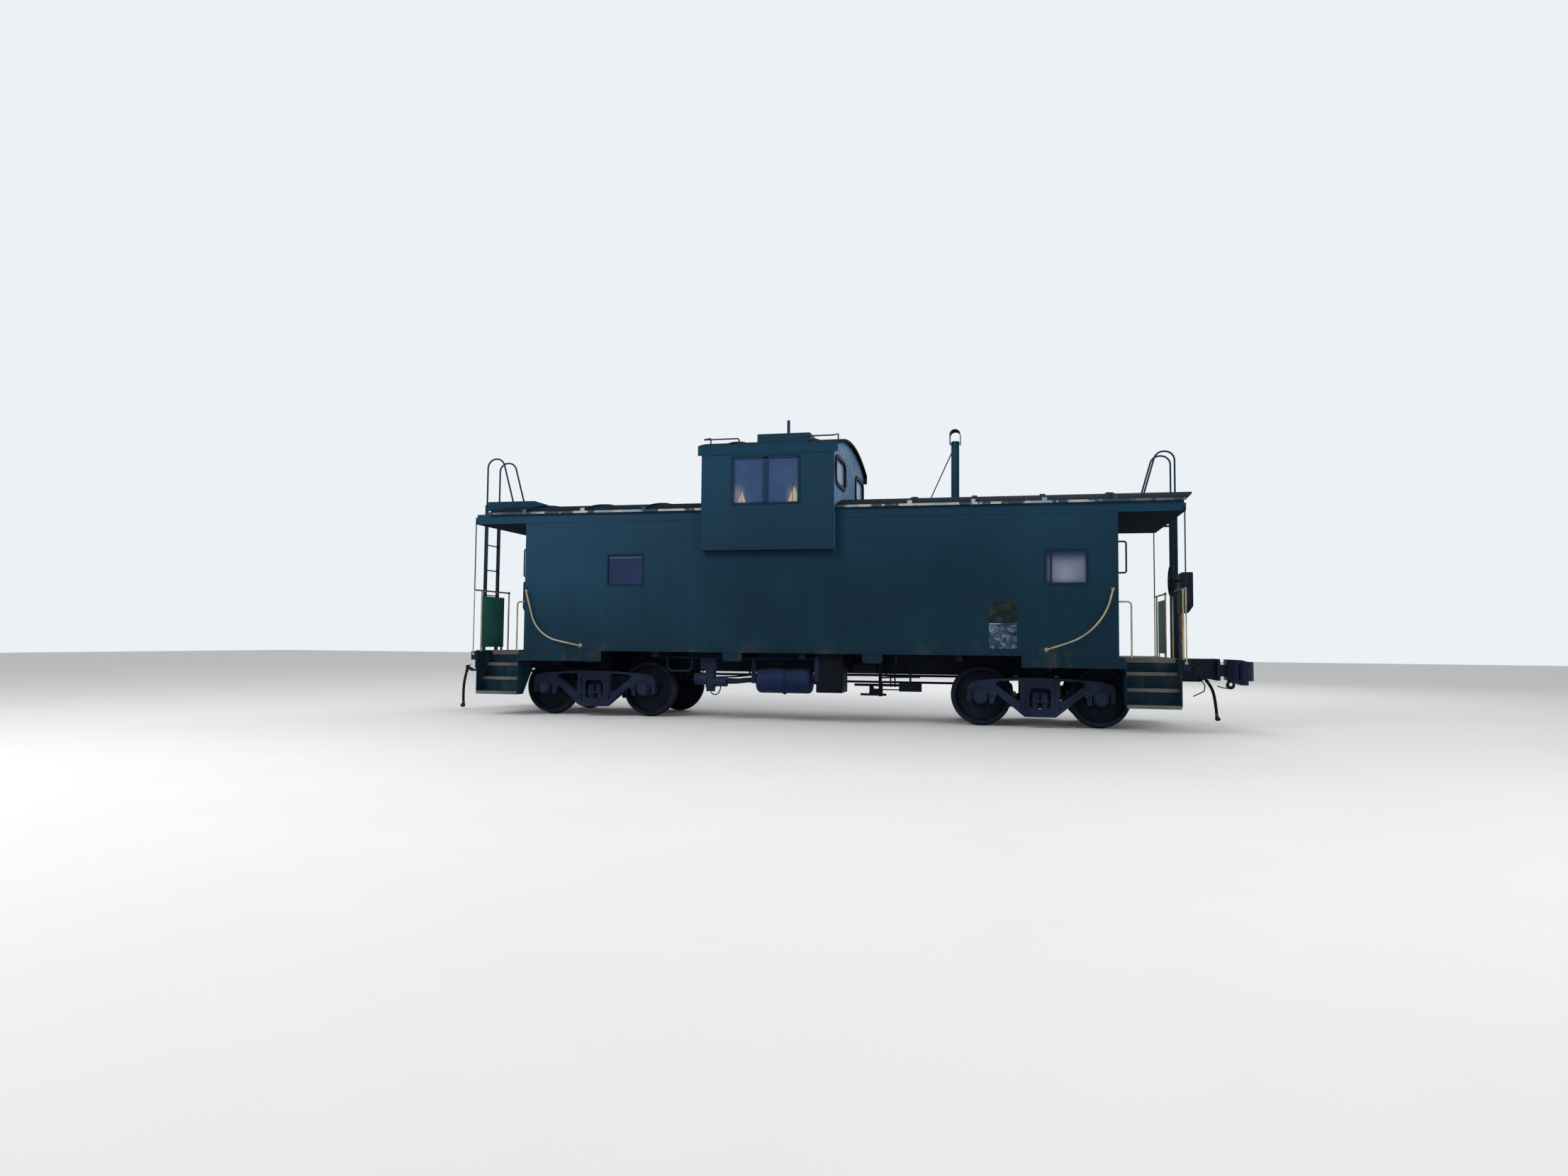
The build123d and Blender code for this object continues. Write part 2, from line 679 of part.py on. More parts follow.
def walkway():
    """Raised step on the roof where the right ladder lands, ramped down at its inner end."""
    x_toe, x_top, x_end = WALK_X
    y0, y1 = WALK_Y
    low = EAVE
    skirt = WALK_TOP - WALK_SKIRT
    side = face((x_toe, low), (x_toe, roof_height(y1) + 4), (x_top, WALK_TOP), (x_end, WALK_TOP),
                (x_end, skirt), (SHEET_END, skirt), (SHEET_END, low))
    box = along_y(side, y0, y1)
    hollow = face((x_toe + 150, low), (x_toe + 150, roof_height(y0) - 40), (x_top + 30, WALK_TOP - WALK_T),
                  (x_end - 15, WALK_TOP - WALK_T), (x_end - 15, low))
    box = box - along_y(hollow, y0 + 15, y1 - 15)
    box = box - below_roof_skin(0, SHEET_END)
    raised = dome(ROOF_W / 2, SIDE_BOTTOM, EAVE + SEAM_H, RIDGE + SEAM_H)
    for x in SEAMS:
        if abs(x) > x_toe:
            box = box - along_x(raised, abs(x) - SEAM_W / 2, abs(x) + SEAM_W / 2)
    return box


def railing():
    """Right end railing: corner posts, short posts, top rails and their knobs."""
    low = END_SILL_Z[1]
    pieces = []
    for side in (-1, 1):
        y = side * POST_Y
        foot = low - 60
        head = BAND_BOTTOM + 40
        pieces.append(rod((RAIL_X, y, foot), (RAIL_X, y, head), POST_R))
        pieces.append(block(RAIL_X - 20, RAIL_X + 20, side * END_SILL_HALF, y, foot, foot + 30))
        band = side * (SIDE_Y + BAND_PROUD)
        pieces.append(block(RAIL_X - 12, RAIL_X + 12, band, y, head - 30, head))
        for post in SHORT_POSTS:
            pieces.append(rod((RAIL_X, side * post, low), (RAIL_X, side * post, RAIL_TOP), RAIL_R))
        end = side * SHORT_POSTS[0]
        pieces.append(rod((RAIL_X, y, RAIL_TOP), (RAIL_X, end, RAIL_TOP), RAIL_R))
        pieces.append(Pos(RAIL_X, end, RAIL_TOP) * Sphere(KNOB_R))
    return pieces


def safety_panel():
    """Sheet between the short posts beside the right ladder."""
    y0, y1 = PANEL_Y
    x0 = RAIL_X + RAIL_R
    plate = block(x0, x0 + PANEL_T, y0, y1, *PANEL_Z)
    for y in (y0 + PANEL_FOOT, y1 - PANEL_FOOT):
        plate = plate + block(x0, x0 + PANEL_T, y - 30, y + 30, END_SILL_Z[1], PANEL_Z[0])
    return plate


# Hand brakes
def hand_brake():
    """Brake stand at the right end: gear housing on a post outside the railing."""
    x0 = RAIL_X + 27
    z = BRAKE_Z
    profile = face((x0, z - 460), (x0, z + 90), (x0 + 35, z + 120), (x0 + 170, z + 120),
                   (x0 + 170, z - 360), (x0 + 105, z - 460))
    gear = along_y(profile, BRAKE_Y - 150, BRAKE_Y + 150)
    gear = fillet(gear.edges().filter_by(Axis.X), 30)
    post = block(x0, x0 + 55, BRAKE_Y - 45, BRAKE_Y + 45, END_SILL_Z[1], z - 440)
    hub_half = BRAKE_HUB[1]
    tail = BRAKE_X - hub_half - 18
    shaft = rod((tail, BRAKE_Y, BRAKE_Z), (x0 + 20, BRAKE_Y, BRAKE_Z), BRAKE_SHAFT_R)
    nut = rod((tail, BRAKE_Y, BRAKE_Z), (tail + 18 - RUNNING_GAP, BRAKE_Y, BRAKE_Z), BRAKE_SHAFT_R + 9)
    return gear + post + shaft + nut


def brake_wheel():
    hub_r, hub_half = BRAKE_HUB
    reach = BRAKE_WHEEL_R - BRAKE_RIM_R
    rim = Pos(BRAKE_X, BRAKE_Y, BRAKE_Z) * Rot(0, 90, 0) * Torus(reach, BRAKE_RIM_R)
    hub = rod((BRAKE_X - hub_half, BRAKE_Y, BRAKE_Z), (BRAKE_X + hub_half, BRAKE_Y, BRAKE_Z), hub_r)
    wheel = rim + hub
    for k in range(BRAKE_SPOKES):
        angle = math.radians(90 + 360 * k / BRAKE_SPOKES)
        tip = (BRAKE_X, BRAKE_Y + reach * math.cos(angle), BRAKE_Z + reach * math.sin(angle))
        wheel = wheel + rod((BRAKE_X, BRAKE_Y, BRAKE_Z), tip, 11)
    bore = rod((BRAKE_X - hub_half, BRAKE_Y, BRAKE_Z), (BRAKE_X + hub_half, BRAKE_Y, BRAKE_Z),
               BRAKE_SHAFT_R + RUNNING_GAP)
    return wheel - bore


# Grab irons on the body
def grab_irons():
    r = 12.5
    out = SIDE_Y + 62
    # Bent handrails on the side, from the upper foot down: distance in from the end, height; bends
    bent = (
        (-1, ((44, 1976), (175, 1515), (246, 1383), (437, 1202), (961, 1096)), (600, 500, 590)),
        (1, ((76, 1965), (165, 1615), (461, 1276), (968, 1104)), (850, 850)),
    )
    irons = []
    for end, route, bends in bent:
        line = [(end * (BODY_X - inward), z) for inward, z in route]
        points = [(line[0][0], -SIDE_Y, line[0][1])]
        points += [(x, -out, z) for x, z in line]
        points.append((line[-1][0], -SIDE_Y, line[-1][1]))
        irons.append(tube(points, r, (30, *bends, 30)))
    for end in (-1, 1):
        wall = end * BODY_X
        post = end * (BODY_X + 175)
        rail = ((post, -1300, DECK_TOP), (post, -1300, 1780), (wall, -1300, 1780))
        irons.append(tube(rail, r, 50))
        grip = end * (BODY_X + 125)
        bar = ((wall, -1200, 2190), (grip, -1200, 2190), (grip, -1200, 2630), (wall, -1200, 2630))
        irons.append(tube(bar, r, 30))
    return irons + [turned(iron) for iron in irons]


def sill_plates():
    """Plates over the trucks and rounded jacking pads, along both sides of the body."""
    inner, outer = PLATE_Y
    wide, deep, round_by = PAD
    plates = []
    for end in (-1, 1):
        plates.append(block(end * PLATE_X[0], end * PLATE_X[1], -outer, -inner, PLATE_LOW, SIDE_BOTTOM))
        low = SIDE_BOTTOM - deep
        pad = rect(end * PAD_X - wide / 2, end * PAD_X + wide / 2, low, SIDE_BOTTOM + deep, round_by)
        pad = pad & rect(end * PAD_X - wide, end * PAD_X + wide, low, SIDE_BOTTOM)
        plates.append(along_y(pad, -outer, -outer + 55))
    return plates + [turned(plate) for plate in plates]


# Underframe
def underframe():
    """Centre sill with its draft pockets and strikers, bolsters and cross bearers."""
    web = SILL_HALF - SILL_WEB
    beam = block(-BODY_X, BODY_X, -SILL_HALF, SILL_HALF, SILL_LOW, SIDE_BOTTOM)
    beam = beam + block(-STRIKER_X, STRIKER_X, -SILL_HALF, SILL_HALF, SILL_LOW, SILL_END_TOP)
    for end in (-1, 1):
        beam = beam + block(end * END_SILL_X, end * STRIKER_X, -SILL_HALF, SILL_HALF, SILL_LOW,
                            END_SILL_Z[1])
    inside = POCKET_X - 100
    beam = beam - block(-inside, inside, -web, web, SILL_LOW, SILL_END_TOP - SILL_WEB)
    top = COUPLER_Z + POCKET_HALF_Z
    for end in (-1, 1):
        beam = beam - block(end * POCKET_X, end * STRIKER_X, -web, web, SILL_LOW, top)
        flare = rect(-230, 230, SILL_LOW - 20, END_SILL_Z[1] + 2, 30)
        flare = flare - rect(-web, web, COUPLER_Z - POCKET_HALF_Z, top)
        beam = beam + along_x(flare, end * (STRIKER_X - 45), end * STRIKER_X)
        pin_x = end * COUPLER_PIN_X
        carrier = block(pin_x - 90, pin_x + 90, -SILL_HALF, SILL_HALF, SILL_LOW - 15, SILL_LOW)
        beam = beam + carrier + along_z(disc(pin_x, 0, COUPLER_PIN_R), SILL_LOW - 15, top)
    bolster = face((-1300, SIDE_BOTTOM), (1300, SIDE_BOTTOM), (1300, 860), (420, 770), (-420, 770),
                   (-1300, 860))
    bearer = rect(-BEARER_Y, BEARER_Y, BEARER_LOW, SIDE_BOTTOM)
    for x in (-TRUCK_CENTRES / 2, TRUCK_CENTRES / 2):
        beam = beam + along_x(bolster, x - 170, x + 170)
        beam = beam + along_z(disc(x, 0, PLATE_R), PLATE_TOP + RUNNING_GAP, 780)
        beam = beam + along_z(disc(x, 0, KINGPIN_R), PLATE_TOP - 70, PLATE_TOP + 10)
        for y in (-SIDE_BEARING_Y, SIDE_BEARING_Y):
            beam = beam + block(x - 90, x + 90, y - 60, y + 60, 700, 830)
    for x in BEARERS:
        beam = beam + along_x(bearer, x - BEARER_HALF, x + BEARER_HALF)
    return beam


def air_tank():
    """Two part air reservoir under the near side, hung between two plates."""
    x0, x1 = -745.0, 111.0
    z, r = 590.0, 187.0
    plate_x = (-806.0, 163.0)
    shell = rod((x0, TANK_Y, z), (x1, TANK_Y, z), r)
    shell = fillet(shell.edges().filter_by(GeomType.CIRCLE), 70)
    mid = (x0 + x1) / 2
    tank = shell + rod((mid - 22, TANK_Y, z), (mid + 22, TANK_Y, z), r + 12)
    tank = tank + rod((plate_x[0], TANK_Y, z), (plate_x[1], TANK_Y, z), 24)
    for x in plate_x:
        tank = tank + block(x - 27, x + 27, TANK_Y - 40, TANK_Y + 40, z - 45, RAIL_LOW)
    rail = block(BEARERS[1], 190, TANK_Y - 60, TANK_Y + 60, RAIL_LOW, BEARER_LOW)
    return tank + rail


def control_valve():
    """Air brake valve on its bracket, with the looped pipe beside it."""
    plate = block(-1640, -1400, TANK_Y - 60, TANK_Y + 60, 748, RAIL_LOW)
    body = block(-1560, -1420, TANK_Y - 75, TANK_Y + 75, 470, 760)
    body = fillet(body.edges().filter_by(Axis.Z), 25)
    left = rod((-1740, TANK_Y, 600), (-1540, TANK_Y, 600), 90)
    right = rod((-1440, TANK_Y, 560), (-1230, TANK_Y, 560), 75)
    foot = rod((-1490, TANK_Y, 410), (-1490, TANK_Y, 480), 70)
    beam = block(BEARERS[0], BEARERS[1] - 2, TANK_Y - 40, TANK_Y + 40, RAIL_LOW, BEARER_LOW)
    loop = tube(((-2200, TANK_Y, RAIL_LOW + 6), (-2200, TANK_Y, 717), (-1800, TANK_Y, 717),
                 (-1800, TANK_Y, RAIL_LOW + 6)), 17, 80)
    return joined([plate, body, left, right, foot, beam, loop])


def equipment_box():
    """Battery box hung from the floor."""
    box = block(200, 600, -1240, -800, 430, 980)
    box = fillet(box.edges().filter_by(Axis.Y), 18)
    lid = block(215, 585, -1252, -1240, 450, 940)
    frame = block(180, 620, -1240, -800, 980, SIDE_BOTTOM)
    return box + lid + frame


def brake_rigging():
    """Brake cylinder, its levers, and the long rods toward both trucks."""
    y = -430.0
    cylinder = rod((640, y, 835), (1000, y, 835), 115)
    seat = block(700, 950, y - 40, y + 40, 930, SIDE_BOTTOM)
    push = rod((990, y, 835), (1060, y, 835), 20)
    lever = block(1030, 1080, y - 12, y + 12, 350, 870)
    low_bar = block(750, 1150, y - 15, y + 15, 360, 395)
    pull = rod((650, y, 515), (1400, y, 515), 9)
    slack = block(1350, 1690, y - 55, y + 55, 433, 557)
    hanger = block(1505, 1535, y - 15, y + 15, 540, SIDE_BOTTOM)
    yoke = face((884, 378), (1094, 378), (1094, 528), (1062, 528), (1040, 470), (958, 470), (938, 528),
                (890, 505))
    yoke = along_y(yoke, y - 22, y + 22)
    near = [cylinder, seat, push, lever, low_bar, pull, slack, hanger, yoke]
    rod_y = SILL_HALF - SILL_WEB / 2
    bar = block(1040, 1070, y - 12, rod_y, 540, 570)
    reach = TRUCK_CENTRES / 2 - 389
    rods = []
    for side in (-1, 1):
        rods.append(rod((-reach, side * rod_y, 555), (reach, side * rod_y, 555), 12))
        for x in (-BEARERS[-1], 0, BEARERS[-1]):
            rods.append(block(x - 12, x + 12, side * rod_y - 8, side * rod_y + 8, 550, SILL_LOW))
    bracket = block(1375, 1400, -1260, -1210, 850, SIDE_BOTTOM)
    return joined([*near, bar, *rods]), bracket


def hose_points(name):
    end = 1 if name == "right" else -1
    return [Vector(end * (STRIKER_X + out), y, z) for out, y, z in HOSES[name]]


def angle_cock(name):
    """Shut-off valve above a hose, with its elbow, nipple and handle."""
    start, second = hose_points(name)[:2]
    down = (second - start).normalized()
    end = 1 if start.X > 0 else -1
    heart = start - down * 72
    barrel = rod(heart - Vector(0, 0, 30), heart + Vector(0, 0, 34), 33)
    elbow = rod((heart.X - end * 95, heart.Y, PIPE_Z), heart, PIPE_R + 8)
    nipple = rod(heart, start - down * 30, HOSE_R - 4)
    nut = rod(start - down * 30, start, HOSE_R + 5)
    z = heart.Z + 32
    handle = block(heart.X - 9, heart.X + 9, heart.Y, heart.Y - end * 105, z, z + 9)
    return joined([barrel, elbow, nipple, nut, handle])


def train_pipe():
    """Air line under the car, crossing over so that its cocks are at opposite corners."""
    left, right = (angle_cock(name) for name in HOSES)
    x0 = hose_points("left")[0].X + 80
    x1 = hose_points("right")[0].X - 80
    route = ((x0, -PIPE_Y, PIPE_Z), (-600, -PIPE_Y, PIPE_Z), (600, PIPE_Y, PIPE_Z),
             (x1, PIPE_Y, PIPE_Z))
    pipe = tube(route, PIPE_R, 150)
    # Hangers: x, which side, what they reach
    hangers = ((-BODY_X - 425, -1, SILL_END_TOP), (BEARERS[0], -1, BEARER_LOW),
               (BEARERS[1], -1, BEARER_LOW), (BEARERS[3], 1, BEARER_LOW),
               (BEARERS[4], 1, BEARER_LOW), (BODY_X + 425, 1, SILL_END_TOP))
    straps = []
    for x, side, high in hangers:
        y = side * PIPE_Y
        straps.append(block(x - 15, x + 15, y - 4, y + 4, PIPE_Z, high))
    return joined([pipe, *straps, left, right])


def hose(name):
    points = hose_points(name)
    runs = [b - a for a, b in zip(points[:-1], points[1:])]
    radii = []
    for first, second in zip(runs[:-1], runs[1:]):
        turn = math.radians(first.get_angle(second))
        radii.append(0.45 * min(first.length, second.length) / math.tan(turn / 2))
    print(name, "hose: length", round(sum(run.length for run in runs)),
          "mm, bend radii", [round(radius) for radius in radii])
    return tube(points, HOSE_R, radii)


def glad_hand(name):
    """Coupling head at the foot of a hose."""
    above, foot = hose_points(name)[-2:]
    side = 1 if foot.X > 0 else -1
    x, y, z = foot.X, foot.Y, foot.Z
    down = (foot - above).normalized()
    ferrule = rod(foot, foot + down * 24, HOSE_R + 3)
    head = along_y(disc(x + side * 8, z - 40, 34) + rect(x - 18, x + 18, z - 45, z - 14), y - 20, y + 20)
    lip = along_y(disc(x + side * 30, z - 46, 22), y - 8, y + 26)
    return ferrule + head + lip


# Couplers
def coupler():
    """Shank, head with its guard arm, ears for the knuckle and lock lifter, drawn from the head's back."""
    half_y, half_z = SHANK
    z = COUPLER_Z
    pivot = COUPLER_PIN_X - HEAD_X
    shank = block(pivot - 60, 50, -half_y, half_y, z - half_z, z + half_z)
    shank = fillet(shank.edges().filter_by(Axis.X), 12)
    shank = shank - along_z(disc(pivot, 0, COUPLER_PIN_R + RUNNING_GAP), z - 200, z + 200)
    pin_x, pin_y = KNUCKLE_PIN
    plan = face((0, -110), (0, 110), (105, 165), (220, 195), (315, 240), (352, 230), (340, 190),
                (270, 115), (208, 50), (190, -20), (190, -110), (180, -190), (90, -170))
    plan = plan + disc(pin_x, pin_y, EAR_R)
    profile = face((0, 980), (180, 974), (320, 940), (360, 915), (360, 690), (330, 630), (290, 608),
                   (180, 608), (130, 640), (0, 680))
    head = along_z(plan, 590, 990) & along_y(profile, -260, 260)
    low, high = KNUCKLE_Z
    head = head - block(148, 390, -260, -24, low - 2, high + 2)
    pin = along_z(disc(pin_x, pin_y, KNUCKLE_PIN_R), 640, 962)
    lifter = along_y(disc(70, 600, 62) - disc(76, 612, 26), -14, 14)
    neck = block(30, 120, -14, 14, 640, 700)
    neck = neck - along_y(disc(76, 612, 40), -14, 14)
    hook = tube(((40, 0, 552), (-30, -20, 560), (-120, -60, 585)), 8, 40)
    return joined([shank, head, pin, lifter, neck, hook])


def knuckle():
    """The hooked jaw that turns on its pin at the near side of the coupler head."""
    pin_x, pin_y = KNUCKLE_PIN
    low, high = KNUCKLE_Z
    jaw = face((215, -212), (280, -200), (335, -160), (370, -90), (374, -20), (356, 2), (315, -6),
               (304, -50), (286, -84), (220, -90))
    plan = jaw + disc(pin_x, pin_y, KNUCKLE_HUB_R)
    body = along_z(plan, low, high)
    tall = jaw - disc(pin_x, pin_y, EAR_R + MOVING_GAP) - rect(90, 294, -260, 60)
    nose = along_z(tall, low - 22, high + 50)
    nose = fillet(nose.edges().filter_by(Axis.Z), 6)
    bore = along_z(disc(pin_x, pin_y, KNUCKLE_PIN_R + RUNNING_GAP), low, high)
    return (body + nose) - bore


def uncoupling_lever():
    """Lever along the end sill, from its handle at the corner to the coupler."""
    r = 11.0
    x = END_SILL_X
    route = ((x + 65, -1330, 700), (x + 65, -1250, 905), (x + 65, -430, 905), (x + 250, -270, 872),
             (x + 250, -262, 722), (x + 400, -236, 700))
    lever = tube(route, r, (40, 60, 60, 60))
    tail = tube(((x + 310, -250, 712), (x + 385, -300, 600), (x + 372, -300, 518), (x + 222, -300, 440)),
                8, (35, 35))
    pieces = [lever, tail]
    for y in (-1150, -560):
        pieces.append(block(x, x + 80, y - 12, y + 12, 890, 920))
    return joined(pieces)


# Trucks
def wheelset(x):
    """Axle with its two wheels and bearing end caps, turned as one profile."""
    back = WHEEL_BACKS / 2
    outer = back + RIM_WIDTH
    tip = TREAD_R + FLANGE_DEPTH
    hub = 140.0
    half = (
        (0, 0), (AXLE_R, 0), (AXLE_R, back - 10), (hub, back - 8), (hub + 20, back + 26),
        (345, back + 22), (365, back), (tip - 8, back), (tip, back + 12), (TREAD_R + 4, back + 34),
        (TREAD_R - 3, outer), (368, outer), (350, back + 50), (hub + 25, back + 62),
        (hub - 5, outer + 18), (JOURNAL_R + 14, outer + 18), (JOURNAL_R, outer + 60),
        (JOURNAL_R, CAP_OUT - CAP_T), (CAP_R, CAP_OUT - CAP_T), (CAP_R, CAP_OUT), (0, CAP_OUT),
    )
    turned_half = revolve(face(*half), Axis.Y)
    for k in range(3):
        angle = math.radians(90 + 120 * k)
        bx = 0.6 * CAP_R * math.cos(angle)
        bz = 0.6 * CAP_R * math.sin(angle)
        turned_half = turned_half + rod((bx, CAP_OUT - 1, bz), (bx, CAP_OUT + 12, bz), CAP_BOLT_R)
    return Pos(x, 0, TREAD_R) * (turned_half + mirror(turned_half, Plane.XZ))


# Springs stand behind the plate of the side frame
SPRING_Y = JOURNAL_SPACING / 2 + FRAME_THICK / 2 - FRAME_WEB - SEAT_T - MOVING_GAP - SPRING_R


def side_frame():
    """Near side frame of a truck, cast in one piece, drawn about the truck's centre."""
    half = (
        (0, FRAME_TOP), (330, FRAME_TOP - 4), (600, 672), (838, 655), (985, 615), (1030, 545),
        (1030, 345), (965, 345), (965, JAW_TOP), (711, JAW_TOP), (711, 318), (648, 318),
        (640, 400), (600, 455), (290, FRAME_BOTTOM + 60), (215, FRAME_BOTTOM), (0, FRAME_BOTTOM),
    )
    outline = list(half) + [(-x, z) for x, z in reversed(half[1:-1])]
    body = face(*outline)
    window = face((278, 368), (278, 652), (545, 645), (632, 622), (604, 578), (335, 368))
    window = fillet(window.vertices(), 22)
    pin_hole = disc(676, 425, 13)
    for cut in (window, pin_hole):
        body = body - cut - mirror(cut, Plane.YZ)
    front = -JOURNAL_SPACING / 2 - FRAME_THICK / 2
    frame = along_y(body - rect(*OPENING, 20), front, front + FRAME_THICK)
    # The web beside the window lies back from the flange round it
    web = face((236, 228), (262, 300), (262, 430), (340, 430), (560, 600), (604, 578), (650, 544),
               (600, 500), (292, 243))
    for pocket in (web, mirror(web, Plane.YZ)):
        frame = frame - along_y(pocket, front, front + FRAME_WEB)
    x0, x1, z0, z1 = OPENING
    plate = rect(x0 - 5, x1 + 5, z0 - 5, z1 + 5, 20) - rect(-148, 148, 254, 550, 60)
    frame = frame + along_y(plate, front + FRAME_WEB, front + FRAME_WEB + SEAT_T)
    # Ledge on the inner side that carries the springs
    wide, deep = SPRING_SEAT
    ledge = block(-wide, wide, front + FRAME_THICK - 10, SPRING_R + 8 - SPRING_Y, z0 - deep, z0)
    return frame + ledge


def bearing(x):
    """Roller bearing and the adapter that seats it under the frame's pedestal."""
    y = -JOURNAL_SPACING / 2
    y0 = y - BEARING_LEN / 2
    y1 = y + BEARING_LEN / 2
    bore = disc(x, TREAD_R, JOURNAL_R + RUNNING_GAP)
    ring = along_y(disc(x, TREAD_R, BEARING_R) - bore, y0, y1)
    saddle = block(x - 122, x + 122, y0 + 15, y1 - 15, TREAD_R + 40, JAW_TOP)
    saddle = saddle - along_y(disc(x, TREAD_R, BEARING_R - 1), y0, y1)
    return ring + saddle


def truck_bolster():
    """Cross beam of a truck on its spring groups, with centre bowl and side bearings."""
    low_end = SPRING_TOP
    tip = JOURNAL_SPACING / 2 + FRAME_THICK / 2 - FRAME_WEB - SEAT_T - MOVING_GAP
    inner = JOURNAL_SPACING / 2 - FRAME_THICK / 2 - 20
    half = ((0, 330), (600, 330), (inner, low_end), (inner, 560), (720, 590), (0, 590))
    outline = list(half) + [(-y, z) for y, z in reversed(half[1:-1])]
    beam = along_x(face(*outline), -150, 150)
    # Each end is a ledge over the springs with two lugs on it
    lugs = face((-132, low_end), (132, low_end), (132, low_end + 14), (112, low_end + 24),
                (100, 478), (16, 478), (16, 372), (-16, 372), (-16, 478), (-100, 478),
                (-112, low_end + 24), (-132, low_end + 14))
    for side in (-1, 1):
        beam = beam + along_y(lugs, side * (inner - 10), side * tip)
    beam = beam + along_z(disc(0, 0, BOWL_R), 580, PLATE_TOP + 14)
    beam = beam - along_z(disc(0, 0, PLATE_R + MOVING_GAP), PLATE_TOP, PLATE_TOP + 14)
    beam = beam - along_z(disc(0, 0, KINGPIN_R + RUNNING_GAP), PLATE_TOP - 80, PLATE_TOP)
    for y in (-SIDE_BEARING_Y, SIDE_BEARING_Y):
        beam = beam + block(-80, 80, y - 50, y + 50, 580, 693)
    return beam


def springs():
    """Two rows of coil springs in each side frame, as plain grooved columns."""
    low = OPENING[2]
    high = SPRING_TOP
    coil = 21.0
    turns = int((high - low) / coil)
    pitch = (high - low) / turns
    pieces = []
    r_out = SPRING_R
    r_in = SPRING_R - 8
    profile = [(0, low)]
    for k in range(turns):
        z = low + k * pitch
        profile += [(r_in, z), (r_out, z + 0.25 * pitch), (r_out, z + 0.75 * pitch)]
    profile += [(r_in, high), (0, high)]
    column = revolve(Plane.XZ * face(*profile), Axis.Z)
    for side in (-1, 1):
        for x in (-SPRING_X, SPRING_X):
            pieces.append(Pos(x, side * SPRING_Y, 0) * column)
    return pieces


def brakes():
    """Brake beams with a shoe at each wheel, carried between the side frames."""
    pieces = []
    inner = JOURNAL_SPACING / 2 - FRAME_THICK / 2
    r0 = TREAD_R + SHOE_GAP
    for side in (-1, 1):
        axle = side * WHEELBASE / 2
        ring = disc(axle, TREAD_R, r0 + 45) - disc(axle, TREAD_R, r0)
        shoe = ring & rect(axle - side * (r0 + 60), axle - side * (r0 - 60), 260, 520)
        for y in (-1, 1):
            y_c = y * (WHEEL_BACKS / 2 + 92)
            pieces.append(along_y(shoe, y_c - 42, y_c + 42))
        x_beam = axle - side * (r0 + 62)
        pieces.append(block(x_beam - 28, x_beam + 28, -inner, inner, 355, 405))
    return pieces


def put(shape, x):
    return Pos(x, 0, 0) * shape


def rails_of(pieces):
    """The near and the far half of a railing, each joined into one piece."""
    half = len(pieces) // 2
    return [joined(pieces[:half]), joined(pieces[half:])]


